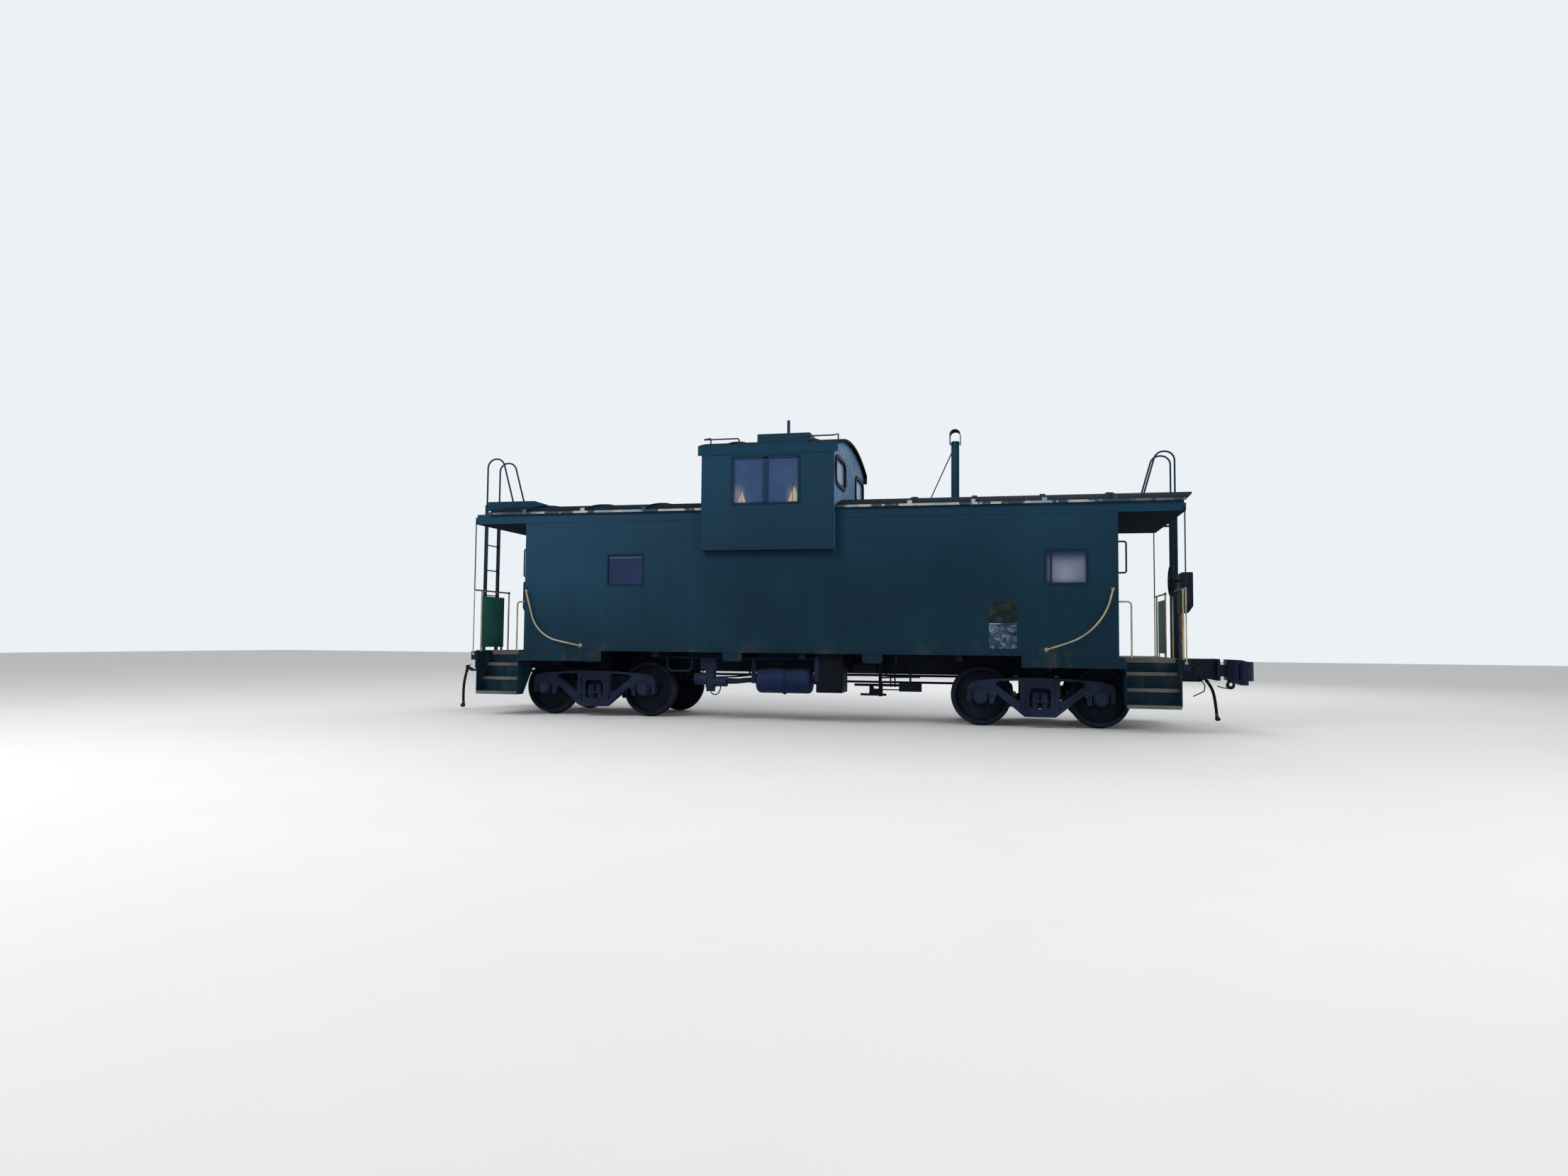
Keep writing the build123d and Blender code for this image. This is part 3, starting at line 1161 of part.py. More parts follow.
def main():
    os.makedirs("parts", exist_ok=True)
    save("underframe", underframe())
    save("cabin_floor", floor())
    save("side_wall_near", side_wall())
    save("side_wall_far", across(side_wall()))
    save("end_wall_right", end_wall())
    save("end_wall_left", turned(end_wall()))
    save("main_roof", *main_roof())
    save("eave_strips", *eave_strips())
    save("roof_overhangs", overhang(), turned(overhang()))
    save("cupola_sides", cupola_side(), across(cupola_side()))
    save("cupola_ends", cupola_end(), swap_ends(cupola_end()))
    save("cupola_roof", cupola_roof())
    save("cupola_rails", *cupola_rails())
    save("antenna", antenna())
    save("smokestack", smokestack())

    frames = []
    glass = []
    for window, outer_y, mullions in (
        (LEFT_WINDOW, SIDE_Y, ()),
        (RIGHT_WINDOW, SIDE_Y, (RIGHT_WINDOW[0] + RIGHT_MULLION,)),
        (CUP_WINDOW, CUP_W / 2, ((CUP_WINDOW[0] + CUP_WINDOW[1]) / 2,)),
    ):
        ring, panes = side_window(window, outer_y, mullions)
        frames += [ring, across(ring)]
        for pane in panes:
            glass += [pane, across(pane)]
    for side in (-1, 1):
        ring, panes = end_window(END_WINDOW, BODY_X, side)
        frames += [ring, turned(ring)]
        glass += [panes[0], turned(panes[0])]
        ring, panes = end_window(CUP_END_WINDOW, CUP_1, side, CUP_WINDOW_ROUND)
        frames += [ring, swap_ends(ring)]
        glass += [panes[0], swap_ends(panes[0])]
    save("window_frames", *frames)
    save("window_glass", *glass)

    leaf, pane = door()
    save("door_right", leaf)
    save("door_left", turned(leaf))
    save("door_glass_right", pane)
    save("door_glass_left", turned(pane))

    save("platform_right", platform())
    save("platform_left", turned(platform()))
    wells = (steps(), across(steps()))
    save("steps", *wells, *[turned(well) for well in wells])
    bars = nosings()
    bars += [across(bar) for bar in bars]
    save("step_nosings", *bars, *[turned(bar) for bar in bars])
    rails = railing()
    save("railing_right", *rails_of(rails))
    save("railing_left", *[turned(rail) for rail in rails_of(rails)])
    save("safety_panels", safety_panel(), turned(safety_panel()))
    save("ladders", ladder(), turned(ladder()))
    save("roof_walkways", walkway(), turned(walkway()))
    save("hand_brakes", hand_brake(), turned(hand_brake()))
    save("brake_wheel_right", brake_wheel())
    save("brake_wheel_left", turned(brake_wheel()))
    save("grab_irons", *grab_irons())
    save("sill_plates", *sill_plates())
    save("air_tank", air_tank())
    save("control_valve", control_valve())
    save("equipment_box", equipment_box())
    save("brake_rigging", *brake_rigging())
    save("train_pipe", train_pipe())
    save("uncoupling_levers", uncoupling_lever(), turned(uncoupling_lever()))
    save("coupler", put(coupler(), HEAD_X))
    save("knuckle", put(knuckle(), HEAD_X))
    for name in HOSES:
        save(f"hose_{name}", hose(name))
        save(f"glad_hand_{name}", glad_hand(name))

    for name, x in (("left", -TRUCK_CENTRES / 2), ("right", TRUCK_CENTRES / 2)):
        save(f"{name}_side_frames", put(side_frame(), x), put(across(side_frame()), x))
        save(f"{name}_bolster", put(joined([truck_bolster(), *springs()]), x))
        save(f"{name}_brakes", put(joined(brakes()), x))
        bearings = []
        for axle in (-WHEELBASE / 2, WHEELBASE / 2):
            bearings += [put(bearing(axle), x), put(across(bearing(axle)), x)]
        save(f"{name}_bearings", *bearings)
        outer = -1 if x < 0 else 1
        save(f"{name}_wheelset_outer", put(wheelset(outer * WHEELBASE / 2), x))
        save(f"{name}_wheelset_inner", put(wheelset(-outer * WHEELBASE / 2), x))


main()
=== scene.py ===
# %% [markdown]
# # A railway crew car with a lookout cupola
#
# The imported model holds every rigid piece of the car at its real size. This
# lesson gives those pieces their finishes, hangs the two air hoses, adds the
# bolts, thin trim and small pipes that a solid model has no need of, and sets
# up the studio and the camera. Everything is in metres, with the wheels
# standing on the floor at height zero and the car lying along X. LIFT is the
# depth of the wheel flanges, by which the whole car is raised.

# %% Load the frame
import json
import math

import bmesh
import bpy
from mathutils import Matrix, Vector


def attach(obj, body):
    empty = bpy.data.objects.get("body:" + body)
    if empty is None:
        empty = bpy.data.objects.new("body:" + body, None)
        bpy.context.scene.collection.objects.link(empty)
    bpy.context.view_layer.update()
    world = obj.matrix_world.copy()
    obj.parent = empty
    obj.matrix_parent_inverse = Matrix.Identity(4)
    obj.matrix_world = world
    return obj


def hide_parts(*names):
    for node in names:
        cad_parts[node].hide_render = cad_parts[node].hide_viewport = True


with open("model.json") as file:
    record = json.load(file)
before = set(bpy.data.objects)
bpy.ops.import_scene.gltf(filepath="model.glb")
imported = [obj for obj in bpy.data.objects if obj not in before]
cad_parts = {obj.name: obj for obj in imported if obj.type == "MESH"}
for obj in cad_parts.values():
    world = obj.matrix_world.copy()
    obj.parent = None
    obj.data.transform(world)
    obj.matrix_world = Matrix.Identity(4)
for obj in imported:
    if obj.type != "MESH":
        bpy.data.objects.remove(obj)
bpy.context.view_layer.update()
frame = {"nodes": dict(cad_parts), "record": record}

LIFT = 0.0254
NODES = frame["nodes"]
RECORD = frame["record"]
print("pieces from the model:", len(NODES))

# %% [markdown]
# ## The camera
#
# The view was worked out from the straight edges of the car: where its sills,
# eaves and wheels cross the picture gives the place of the lens, its direction
# and a roll of half a degree. Aiming with a Track To constraint would lose the
# roll, so the camera's three axes are written out and made into a matrix.

# %% Place the camera
EYE = Vector((2.954, -15.531, 1.197 + LIFT))
YAW, PITCH, ROLL = -0.224, 0.054, 0.009
FOCAL_PIXELS, IMAGE_WIDTH = 1375.2, 2212
SENSOR_WIDTH = 36

ahead = Vector((math.sin(YAW) * math.cos(PITCH), math.cos(YAW) * math.cos(PITCH), math.sin(PITCH)))
level = Vector((math.cos(YAW), -math.sin(YAW), 0))
upright = level.cross(ahead)
side = math.cos(ROLL) * level + math.sin(ROLL) * upright
above = -math.sin(ROLL) * level + math.cos(ROLL) * upright

lens = bpy.data.cameras.new("camera")
lens.sensor_width = SENSOR_WIDTH
lens.lens = FOCAL_PIXELS / IMAGE_WIDTH * SENSOR_WIDTH
camera = bpy.data.objects.new("camera", lens)
bpy.context.collection.objects.link(camera)
turned = Matrix((side, above, -ahead)).transposed().to_4x4()
camera.matrix_world = Matrix.Translation(EYE) @ turned
bpy.context.scene.camera = camera
print("lens", round(lens.lens, 2), "mm")

# %% [markdown]
# ## Shader maths as plain expressions
#
# A worn finish is a sum of masks: grime low down, streaks under the eaves, rust
# at the edges. Wiring those sums by hand takes dozens of Math nodes. One small
# class that wraps a socket and overloads the operators lets each mask be written
# as a line of arithmetic, and every other node comes from one method. Colours
# are written as they look in the picture, from 0 to 255, and made linear once.

# %% Values
class Value:
    """The output of a node, ready for arithmetic."""

    def __init__(self, finish, socket):
        self.finish = finish
        self.socket = socket

    def math(self, operation, first, second):
        return self.finish.node("ShaderNodeMath", {"operation": operation}, {0: first, 1: second})

    def __add__(self, other):
        return self.math("ADD", self, other)

    __radd__ = __add__

    def __sub__(self, other):
        return self.math("SUBTRACT", self, other)

    def __rsub__(self, other):
        return self.math("SUBTRACT", other, self)

    def __mul__(self, other):
        return self.math("MULTIPLY", self, other)

    __rmul__ = __mul__

    def __truediv__(self, other):
        return self.math("DIVIDE", self, other)

    def __abs__(self):
        return self.math("ABSOLUTE", self, 0.0)

    def larger(self, other):
        return self.math("MAXIMUM", self, other)

    def step(self, low, high):
        """0 below low, 1 above high and a soft rise between, or the reverse when low is the larger."""
        if low > high:
            return 1 - self.step(high, low)
        soft = {"interpolation_type": "SMOOTHSTEP"}
        ends = {"Value": self, "From Min": low, "From Max": high}
        return self.finish.node("ShaderNodeMapRange", soft, ends)


print("a value takes + - * / abs, larger and step")

# %% Finishes
ROUNDING_SAMPLES = 4
EDGE_STARTS, EDGE_FULL = 0.02, 0.22


class Finish:
    """A material under construction: nodes come from node(), and show() connects the shader."""

    def __init__(self, name):
        self.material = bpy.data.materials.new(name)
        self.material.use_nodes = True
        self.tree = self.material.node_tree
        self.tree.nodes.clear()

    def node(self, kind, settings=None, inputs=None, output=0):
        """Any node by its type: settings first, then the numbers or links of its sockets."""
        made = self.tree.nodes.new(kind)
        for name, setting in (settings or {}).items():
            setattr(made, name, setting)
        for key, value in (inputs or {}).items():
            if isinstance(value, Value):
                self.tree.links.new(value.socket, made.inputs[key])
            else:
                made.inputs[key].default_value = value
        return Value(self, made.outputs[output])

    def place(self, stretch=(1, 1, 1)):
        """Position on the piece in metres, stretched so that a pattern runs long in one direction."""
        spot = self.node("ShaderNodeTexCoord", output="Object")
        if stretch == (1, 1, 1):
            return spot
        return self.node("ShaderNodeVectorMath", {"operation": "MULTIPLY"}, {0: spot, 1: stretch})

    def coordinate(self, axis):
        """The position along X, Y or Z, in metres."""
        return self.node("ShaderNodeSeparateXYZ", inputs={0: self.place()}, output=axis)

    def teeth(self, axis, pitch):
        """A triangle wave along an axis, 0 to 1 and back once in each pitch."""
        return self.coordinate(axis).math("PINGPONG", self.coordinate(axis), pitch / 2) / (pitch / 2)

    def patch(self, x, z, half_x, half_z, soft):
        """1 within a rectangle of the side seen from the front, falling to 0 over a soft border."""
        across = abs(self.coordinate(0) - x).step(half_x + soft, half_x - soft)
        up = abs(self.coordinate(2) - z - LIFT).step(half_z + soft, half_z - soft)
        return across * up

    def noise(self, scale, detail=3.0, stretch=(1, 1, 1), rough=0.55):
        """Cloudy noise from 0 to 1, with about scale blotches to the metre."""
        inputs = {"Vector": self.place(stretch), "Scale": scale, "Detail": detail, "Roughness": rough}
        return self.node("ShaderNodeTexNoise", {"normalize": True}, inputs)

    def rounding(self, radius):
        """The normal as it would be if every edge had a small radius."""
        return self.node("ShaderNodeBevel", {"samples": ROUNDING_SAMPLES}, {"Radius": radius})

    def edges(self, width):
        """1 on a sharp edge and 0 on a flat: the rounded normal turns away from the true one there."""
        soft = self.rounding(width)
        flat = self.node("ShaderNodeNewGeometry", output="Normal")
        product = {"operation": "DOT_PRODUCT"}
        same = self.node("ShaderNodeVectorMath", product, {0: soft, 1: flat}, "Value")
        return (1 - same).step(EDGE_STARTS, EDGE_FULL)

    def lies_toward(self, axis):
        """How far the surface faces along X, Y or Z, from -1 to 1."""
        normal = self.node("ShaderNodeNewGeometry", output="Normal")
        return self.node("ShaderNodeSeparateXYZ", inputs={0: normal}, output=axis)

    def facing_up(self):
        return self.lies_toward(2)

    def blend(self, factor, under, over):
        """A colour that goes from under to over as the factor rises."""
        return self.node("ShaderNodeMix", {"data_type": "RGBA"}, {0: factor, 6: under, 7: over}, 2)

    def bump(self, height, strength, distance, rounded=None):
        """A normal from a height, with the edges rounded in the light alone if asked."""
        inputs = {"Strength": strength, "Distance": distance, "Height": height}
        if rounded:
            inputs["Normal"] = self.rounding(rounded)
        return self.node("ShaderNodeBump", inputs=inputs)

    def show(self, varying, constants=None):
        """Connects what varies over the surface, and writes what is the same all over."""
        shader = self.node("ShaderNodeBsdfPrincipled", inputs={**(constants or {}), **varying})
        end = self.tree.nodes.new("ShaderNodeOutputMaterial")
        self.tree.links.new(shader.socket, end.inputs["Surface"])
        return self.material


print("a finish takes noises, masks, blends and a bump")

# %% Colours and the table of finishes
def tint(red, green, blue):
    """A colour from the picture, in 0 to 255, as the linear values that a shader takes."""
    shares = (red / 255, green / 255, blue / 255)
    linear = [v / 12.92 if v <= 0.04045 else ((v + 0.055) / 1.055) ** 2.4 for v in shares]
    return (*linear, 1.0)


RUST = tint(92, 54, 34)
DUST = tint(120, 112, 98)
FINISHES = {}


def keep_finish(slot, material):
    """Files a finish under the slot that wears it, and tells how many nodes it took."""
    FINISHES[slot] = material
    print(slot, "takes", len(material.node_tree.nodes), "nodes")


print("rust", [round(v, 3) for v in RUST], "dust", [round(v, 3) for v in DUST])

# %% [markdown]
# ## The body paint
#
# The car is painted a dark blue-green, matt and even, that has chalked in the
# sun, more so near the roof. Toward the left end the side is painted lighter
# and bluer, as painted haze light, and low down on the right it is painted
# darker, as painted shade. An image would repeat over twelve metres, so the
# paint is built from noises: cloudy fading a metre wide, faint upright streaks
# below the eaves, fine speckle, and a slow bump for sheets that bow between
# their posts. Painted shade darkens the lowest sheets and every face that
# points down, with a little road dust low down, rust shows at chipped edges,
# and the treads and decks have raised diamonds, drawn by two triangle waves
# across each other.

# %% Body paint
DEEP_GREEN = tint(10, 37, 52)
CHALKED_GREEN = tint(17, 49, 65)
MATT = {"Specular IOR Level": 0.08}
SOOTY = {"Specular IOR Level": 0.02}
DECK_TOP, DIAMOND_PITCH = 1.000 + LIFT, 0.05


def body_paint(name="body_paint", deep=DEEP_GREEN, chalked=CHALKED_GREEN, sheen=MATT, side_light_and_shade=0.35):
    paint = Finish(name)
    cloud = paint.noise(0.5, 4)
    streak = paint.noise(1.0, 4, (5, 5, 0.35))
    speckle = paint.noise(90, 2)
    height = paint.coordinate(2)
    fading = (cloud * 0.75 + streak * 0.25).step(0.36, 0.66)
    colour = paint.blend(fading, deep, chalked)
    colour = paint.blend(height.step(1.4, 4.0) * 0.4, colour, tint(28, 60, 86))
    # Painted light and shade: lighter and bluer toward the left end for haze light, darker toward the right
    # below the eaves for shade
    toward_left = paint.coordinate(0).step(-0.8, -4.4) * height.step(1.1, 2.4)
    colour = paint.blend(toward_left * side_light_and_shade, colour, tint(37, 70, 97))
    toward_right = paint.coordinate(0).step(-2.0, 1.5) * height.step(3.0, 1.8)
    colour = paint.blend(toward_right * side_light_and_shade, colour, tint(4, 25, 35))
    low = height.step(1.3, 0.95)
    # Painted shade: the lowest sheets are darkened
    colour = paint.blend(low * 0.32, colour, tint(7, 20, 26))
    colour = paint.blend(low * paint.noise(4, 4, (1, 1, 0.5)).step(0.5, 0.74) * 0.12, colour, DUST)
    # Painted shade on every face that points down
    facing_down = paint.facing_up().step(-0.5, -0.95)
    colour = paint.blend(facing_down * 0.85, colour, tint(11, 18, 28))
    chips = paint.edges(0.005) * paint.noise(11, 5).step(0.6, 0.68)
    specks = paint.noise(24, 5, (1, 1, 0.55)).step(0.755, 0.785)
    rust = chips.larger(specks * 0.7)
    colour = paint.blend(rust * 0.8, colour, RUST)
    rough = 0.56 + speckle * 0.1 + fading * 0.06 + rust * 0.2 + facing_down * 0.3
    on_deck = paint.facing_up().step(0.9, 0.98) * height.step(DECK_TOP + 0.03, DECK_TOP + 0.01)
    crossed = paint.teeth(0, DIAMOND_PITCH) * paint.teeth(1, DIAMOND_PITCH)
    diamonds = crossed.step(0.42, 0.6) * on_deck
    bowed = paint.noise(0.9, 2, (1, 1, 0.6)) * 5 + paint.noise(2.6, 2) + speckle * 0.02
    normal = paint.bump(bowed + diamonds * 0.8, 0.35, 0.004, rounded=0.004)
    return paint.show({"Base Color": colour, "Roughness": rough, "Normal": normal}, sheen)


keep_finish("body_paint", body_paint())

# %% [markdown]
# ## The faded ends of the cupola
#
# The sunny ends of the cupola have gone a pale blue-grey, and the top coat has
# let go in flakes that show the dark paint under it. A flake has a sharp edge
# and runs down the sheet, so a noise stretched upright is cut off hard, and a
# second one breaks its border up.

# %% Faded and flaking paint
def faded_paint():
    paint = Finish("faded_paint")
    cloud = paint.noise(1.3, 4)
    wash = paint.noise(2.2, 5, (3, 3, 0.8))
    colour = paint.blend(cloud.step(0.3, 0.7), tint(66, 108, 148), tint(94, 138, 176))
    colour = paint.blend(wash.step(0.5, 0.72) * 0.6, colour, tint(44, 80, 116))
    flakes = (paint.noise(5, 6, (1.6, 1.6, 1), 0.7) * 0.75 + paint.noise(19, 4) * 0.25).step(0.570, 0.590)
    edge_on = abs(paint.lies_toward(0)).step(0.75, 0.65)
    colour = paint.blend(flakes.larger(edge_on), colour, DEEP_GREEN)
    rust = paint.edges(0.008) * paint.noise(9, 5).step(0.45, 0.6)
    colour = paint.blend(rust * 0.4, colour, RUST)
    normal = paint.bump(1 - flakes, 0.5, 0.0012, rounded=0.004)
    rough = 0.62 + flakes * 0.1
    return paint.show({"Base Color": colour, "Roughness": rough, "Normal": normal}, MATT)


keep_finish("faded_paint", faded_paint())

# %% [markdown]
# ## Roof, drip strips and irons
#
# The roof sheets are dark, with dust on their crown, where the sheet faces
# straight up, and painted shade on every face that points down. The drip strip
# along the eave was painted pale and is losing its colour in patches of cream,
# light blue and rust red; its pale cream and light blue are partly a painted
# highlight along the edge. The grab irons, railings and step edges are cream,
# rubbed to a brown where hands and boots touch them: a mask along the edges and
# a few runs. The tall corner posts are cream up to hand height and body paint
# above it, so that finish changes colour at one height.

# %% Roof paint
def roof_paint():
    paint = Finish("roof_paint")
    cloud = paint.noise(0.8, 5)
    streak = paint.noise(1.4, 4, (6, 0.7, 1))
    crown = abs(paint.coordinate(1)).step(0.8, 0.4)
    dust = paint.facing_up().step(0.9, 0.99) * (cloud * 0.5 + streak * 0.5).step(0.35, 0.7) * crown
    colour = paint.blend(dust * 0.5, tint(12, 26, 37), tint(62, 72, 76))
    rust = paint.noise(3.4, 6, (1, 1, 1), 0.65).step(0.62, 0.7)
    colour = paint.blend(rust * 0.4, colour, tint(56, 42, 36))
    colour = paint.blend(abs(paint.lies_toward(1)).step(0.7, 0.8), colour, tint(26, 55, 73))
    # Painted shade on every face that points down
    facing_down = paint.facing_up().step(-0.5, -0.9)
    colour = paint.blend(facing_down * 0.85, colour, tint(6, 8, 14))
    ripple = paint.noise(1.6, 3) * 3 + paint.noise(60, 2) * 0.05
    normal = paint.bump(ripple, 0.35, 0.004, rounded=0.004)
    return paint.show({"Base Color": colour, "Roughness": 0.9 + dust * 0.1, "Normal": normal}, SOOTY)


keep_finish("roof_paint", roof_paint())

# %% Drip strip paint
def strip_paint():
    paint = Finish("strip_paint")
    along = paint.noise(2.3, 5, (1, 0.2, 0.2))
    # The pale cream and light blue are partly a painted highlight along the edge
    colour = paint.blend(along.step(0.42, 0.6), tint(158, 154, 142), tint(104, 130, 150))
    colour = paint.blend(paint.noise(4.1, 5, (1, 0.3, 0.3)).step(0.64, 0.7), colour, tint(128, 82, 60))
    bare = paint.noise(3.2, 6, (1, 0.6, 0.6)).step(0.5, 0.53)
    toward_ends = abs(paint.coordinate(0)).step(4.1, 4.5) * 0.8
    colour = paint.blend(bare.larger(toward_ends), colour, DEEP_GREEN)
    normal = paint.bump(paint.noise(30, 4), 0.4, 0.002, rounded=0.003)
    return paint.show({"Base Color": colour, "Roughness": 0.6 + along * 0.2, "Normal": normal})


keep_finish("strip_paint", strip_paint())

# %% Cream paint
CREAM = tint(164, 154, 130)
HAND_HEIGHT = 1.95


def cream_paint(name="cream_paint", clean=CREAM, dull=tint(132, 122, 104), under=tint(88, 74, 62)):
    paint = Finish(name)
    cloud = paint.noise(3.5, 4)
    colour = paint.blend(cloud.step(0.35, 0.7), clean, dull)
    runs = paint.noise(2.0, 5, (12, 12, 1.2)).step(0.58, 0.7) * 0.5
    worn = (paint.edges(0.004) * paint.noise(14, 5).step(0.46, 0.6)).larger(runs)
    colour = paint.blend(worn, colour, under)
    pits = paint.noise(45, 5, (1, 1, 1), 0.7).step(0.66, 0.72)
    colour = paint.blend(pits, colour, RUST)
    high = paint.coordinate(2).step(HAND_HEIGHT + LIFT, HAND_HEIGHT + LIFT + 0.03)
    colour = paint.blend(high, colour, DEEP_GREEN)
    normal = paint.bump(paint.noise(70, 3) + worn * -0.5, 0.3, 0.0012)
    return paint.show({"Base Color": colour, "Roughness": 0.56 + worn * 0.25, "Normal": normal}, MATT)


keep_finish("cream_paint", cream_paint())

# %% [markdown]
# ## Black frame, cast trucks and wheels
#
# Below the floor everything was sprayed black and has since taken dust from
# below and rust from above. Castings keep the pebbled skin of their sand
# moulds, so their bump is coarser than that of rolled steel. A wheel that has
# not rolled for years has a tread of dull grey, paler than its plate. That ring
# could be a piece of its own, but a mask keeps the wheel in one: it needs the
# distance from the axle, and absolute values of X fold the four axles onto one.

# %% Frame black
def frame_black(name="frame_black", deep=tint(12, 18, 29), pale=tint(20, 28, 43), rusty=0.45):
    paint = Finish(name)
    cloud = paint.noise(2.6, 5)
    colour = paint.blend(cloud.step(0.35, 0.7), deep, pale)
    dust = paint.facing_up().step(0.6, 0.95) * paint.noise(4, 4).step(0.35, 0.7)
    colour = paint.blend(dust * 0.35, colour, tint(78, 76, 74))
    rust = (paint.edges(0.005) * paint.noise(13, 5).step(0.42, 0.6)).larger(
        paint.noise(6.3, 6, (1, 1, 0.6), 0.65).step(0.6, 0.68) * 0.7)
    colour = paint.blend(rust * rusty, colour, tint(58, 42, 36))
    normal = paint.bump(paint.noise(55, 4) + rust * 0.6, 0.35, 0.0015, rounded=0.004)
    rough = 0.55 + rust * 0.25 + dust * 0.15
    return paint.show({"Base Color": colour, "Roughness": rough, "Normal": normal}, MATT)


keep_finish("frame_black", frame_black())

# %% Cast steel
def cast_steel(name="cast_steel", deep=tint(19, 27, 46), pale=tint(30, 40, 64)):
    metal = Finish(name)
    cloud = metal.noise(2.2, 5)
    colour = metal.blend(cloud.step(0.35, 0.7), deep, pale)
    dust = metal.facing_up().step(0.4, 0.95) * metal.noise(5, 4).step(0.3, 0.62)
    colour = metal.blend(dust * 0.35, colour, tint(74, 78, 86))
    stain = metal.noise(3.6, 6, (1.4, 1.4, 0.6), 0.65).step(0.58, 0.72)
    colour = metal.blend(stain * 0.35, colour, tint(60, 46, 40))
    worn = metal.edges(0.006) * metal.noise(9, 4).step(0.4, 0.6)
    colour = metal.blend(worn * 0.5, colour, tint(66, 72, 84))
    pebbles = metal.noise(85, 4, (1, 1, 1), 0.65) + metal.noise(14, 3) * 1.6
    normal = metal.bump(pebbles, 0.45, 0.002, rounded=0.005)
    rough = 0.5 + dust * 0.25 + stain * 0.12
    return metal.show({"Base Color": colour, "Roughness": rough, "Normal": normal}, MATT)


keep_finish("cast_steel", cast_steel())

# %% Wheel steel
AXLE_FROM_PIVOT, PIVOT_X, AXLE_Z = 0.8382, 3.429, 0.4445
TREAD_STARTS, TREAD_FULL = 0.402, 0.414
CAP_RADIUS, CAP_BORDER = 0.105, 0.115


def wheel_steel():
    metal = Finish("wheel_steel")
    across = abs(abs(metal.coordinate(0)) - PIVOT_X) - AXLE_FROM_PIVOT
    up = metal.coordinate(2) - AXLE_Z
    reach = across * across + up * up
    tread = reach.step(TREAD_STARTS ** 2, TREAD_FULL ** 2)
    cloud = metal.noise(4, 5)
    colour = metal.blend(cloud.step(0.35, 0.7), tint(14, 21, 34), tint(24, 30, 44))
    colour = metal.blend(metal.noise(9, 5).step(0.58, 0.7) * 0.3, colour, tint(54, 44, 42))
    colour = metal.blend(tread * 0.3, colour, tint(46, 48, 58))
    outboard = abs(metal.coordinate(1)).step(1.0, 1.04)
    cap = reach.step(CAP_BORDER ** 2, CAP_RADIUS ** 2) * outboard
    colour = metal.blend(cap * 0.8, colour, tint(32, 40, 60))
    skin = metal.noise(70, 4)
    normal = metal.bump(skin, 0.3, 0.0012, rounded=0.004)
    rough = 0.6 - tread * 0.12 + skin * 0.1
    return metal.show({"Base Color": colour, "Roughness": rough, "Normal": normal}, MATT)


keep_finish("wheel_steel", wheel_steel())

# %% Worn bare steel
def worn_steel():
    metal = Finish("worn_steel")
    rust = metal.noise(22, 5).step(0.4, 0.62)
    colour = metal.blend(rust, tint(118, 112, 106), tint(92, 60, 42))
    normal = metal.bump(metal.noise(90, 4), 0.4, 0.001)
    rough = 0.42 + rust * 0.4
    shine = 0.8 - rust * 0.7
    return metal.show({"Base Color": colour, "Roughness": rough, "Metallic": shine, "Normal": normal})


BARE_STEEL = worn_steel()
print("bare steel takes", len(BARE_STEEL.node_tree.nodes), "nodes")

# %% [markdown]
# ## Rubber, glass and boards
#
# Hose rubber is matt black, greyed by ozone, with fine cracks. The window
# strips are black rubber round the cupola's end windows and painted over with
# body colour on the sides, so one finish carries both, split where the side
# walls begin. The panes are plastic gone hazy and blue-grey, and those in the
# cupola's ends are painted a pale blue for the sky light on them. Clear ones
# would show the cabin as a bare shell, so the low light that falls through from
# the far windows is drawn into the panes, as pale patches at the places below.
# The cabin floor is planks: a noise stretched across them gives the grain.

# %% Window strips
SIDE_FACE = 1.402


def gasket(name="gasket", painted=1.0):
    rubber = Finish(name)
    grey = rubber.noise(12, 4)
    colour = rubber.blend(grey.step(0.4, 0.7), tint(6, 10, 20), tint(12, 17, 28))
    out = abs(rubber.coordinate(1)).step(SIDE_FACE, SIDE_FACE + 0.002)
    on_side = out * abs(rubber.lies_toward(1)).step(0.5, 0.7)
    colour = rubber.blend(on_side * painted, colour, tint(12, 38, 54))
    normal = rubber.bump(rubber.noise(60, 3), 0.3, 0.001, rounded=0.003)
    return rubber.show({"Base Color": colour, "Roughness": 0.6 + grey * 0.15, "Normal": normal}, MATT)


keep_finish("gasket", gasket())
BLACK_RUBBER = gasket("black_rubber", painted=0.0)

# %% Hose rubber
def hose_rubber():
    rubber = Finish("hose_rubber")
    grey = rubber.noise(18, 4)
    cracks = rubber.noise(120, 4, (1, 1, 0.25), 0.7).step(0.58, 0.66)
    colour = rubber.blend(grey.step(0.35, 0.7), tint(14, 16, 20), tint(28, 29, 32))
    colour = rubber.blend(cracks * 0.6, colour, tint(8, 9, 11))
    normal = rubber.bump(grey - cracks * 0.4, 0.35, 0.001)
    return rubber.show({"Base Color": colour, "Roughness": 0.68 + grey * 0.12, "Normal": normal}, MATT)


keep_finish("hose_rubber", hose_rubber())

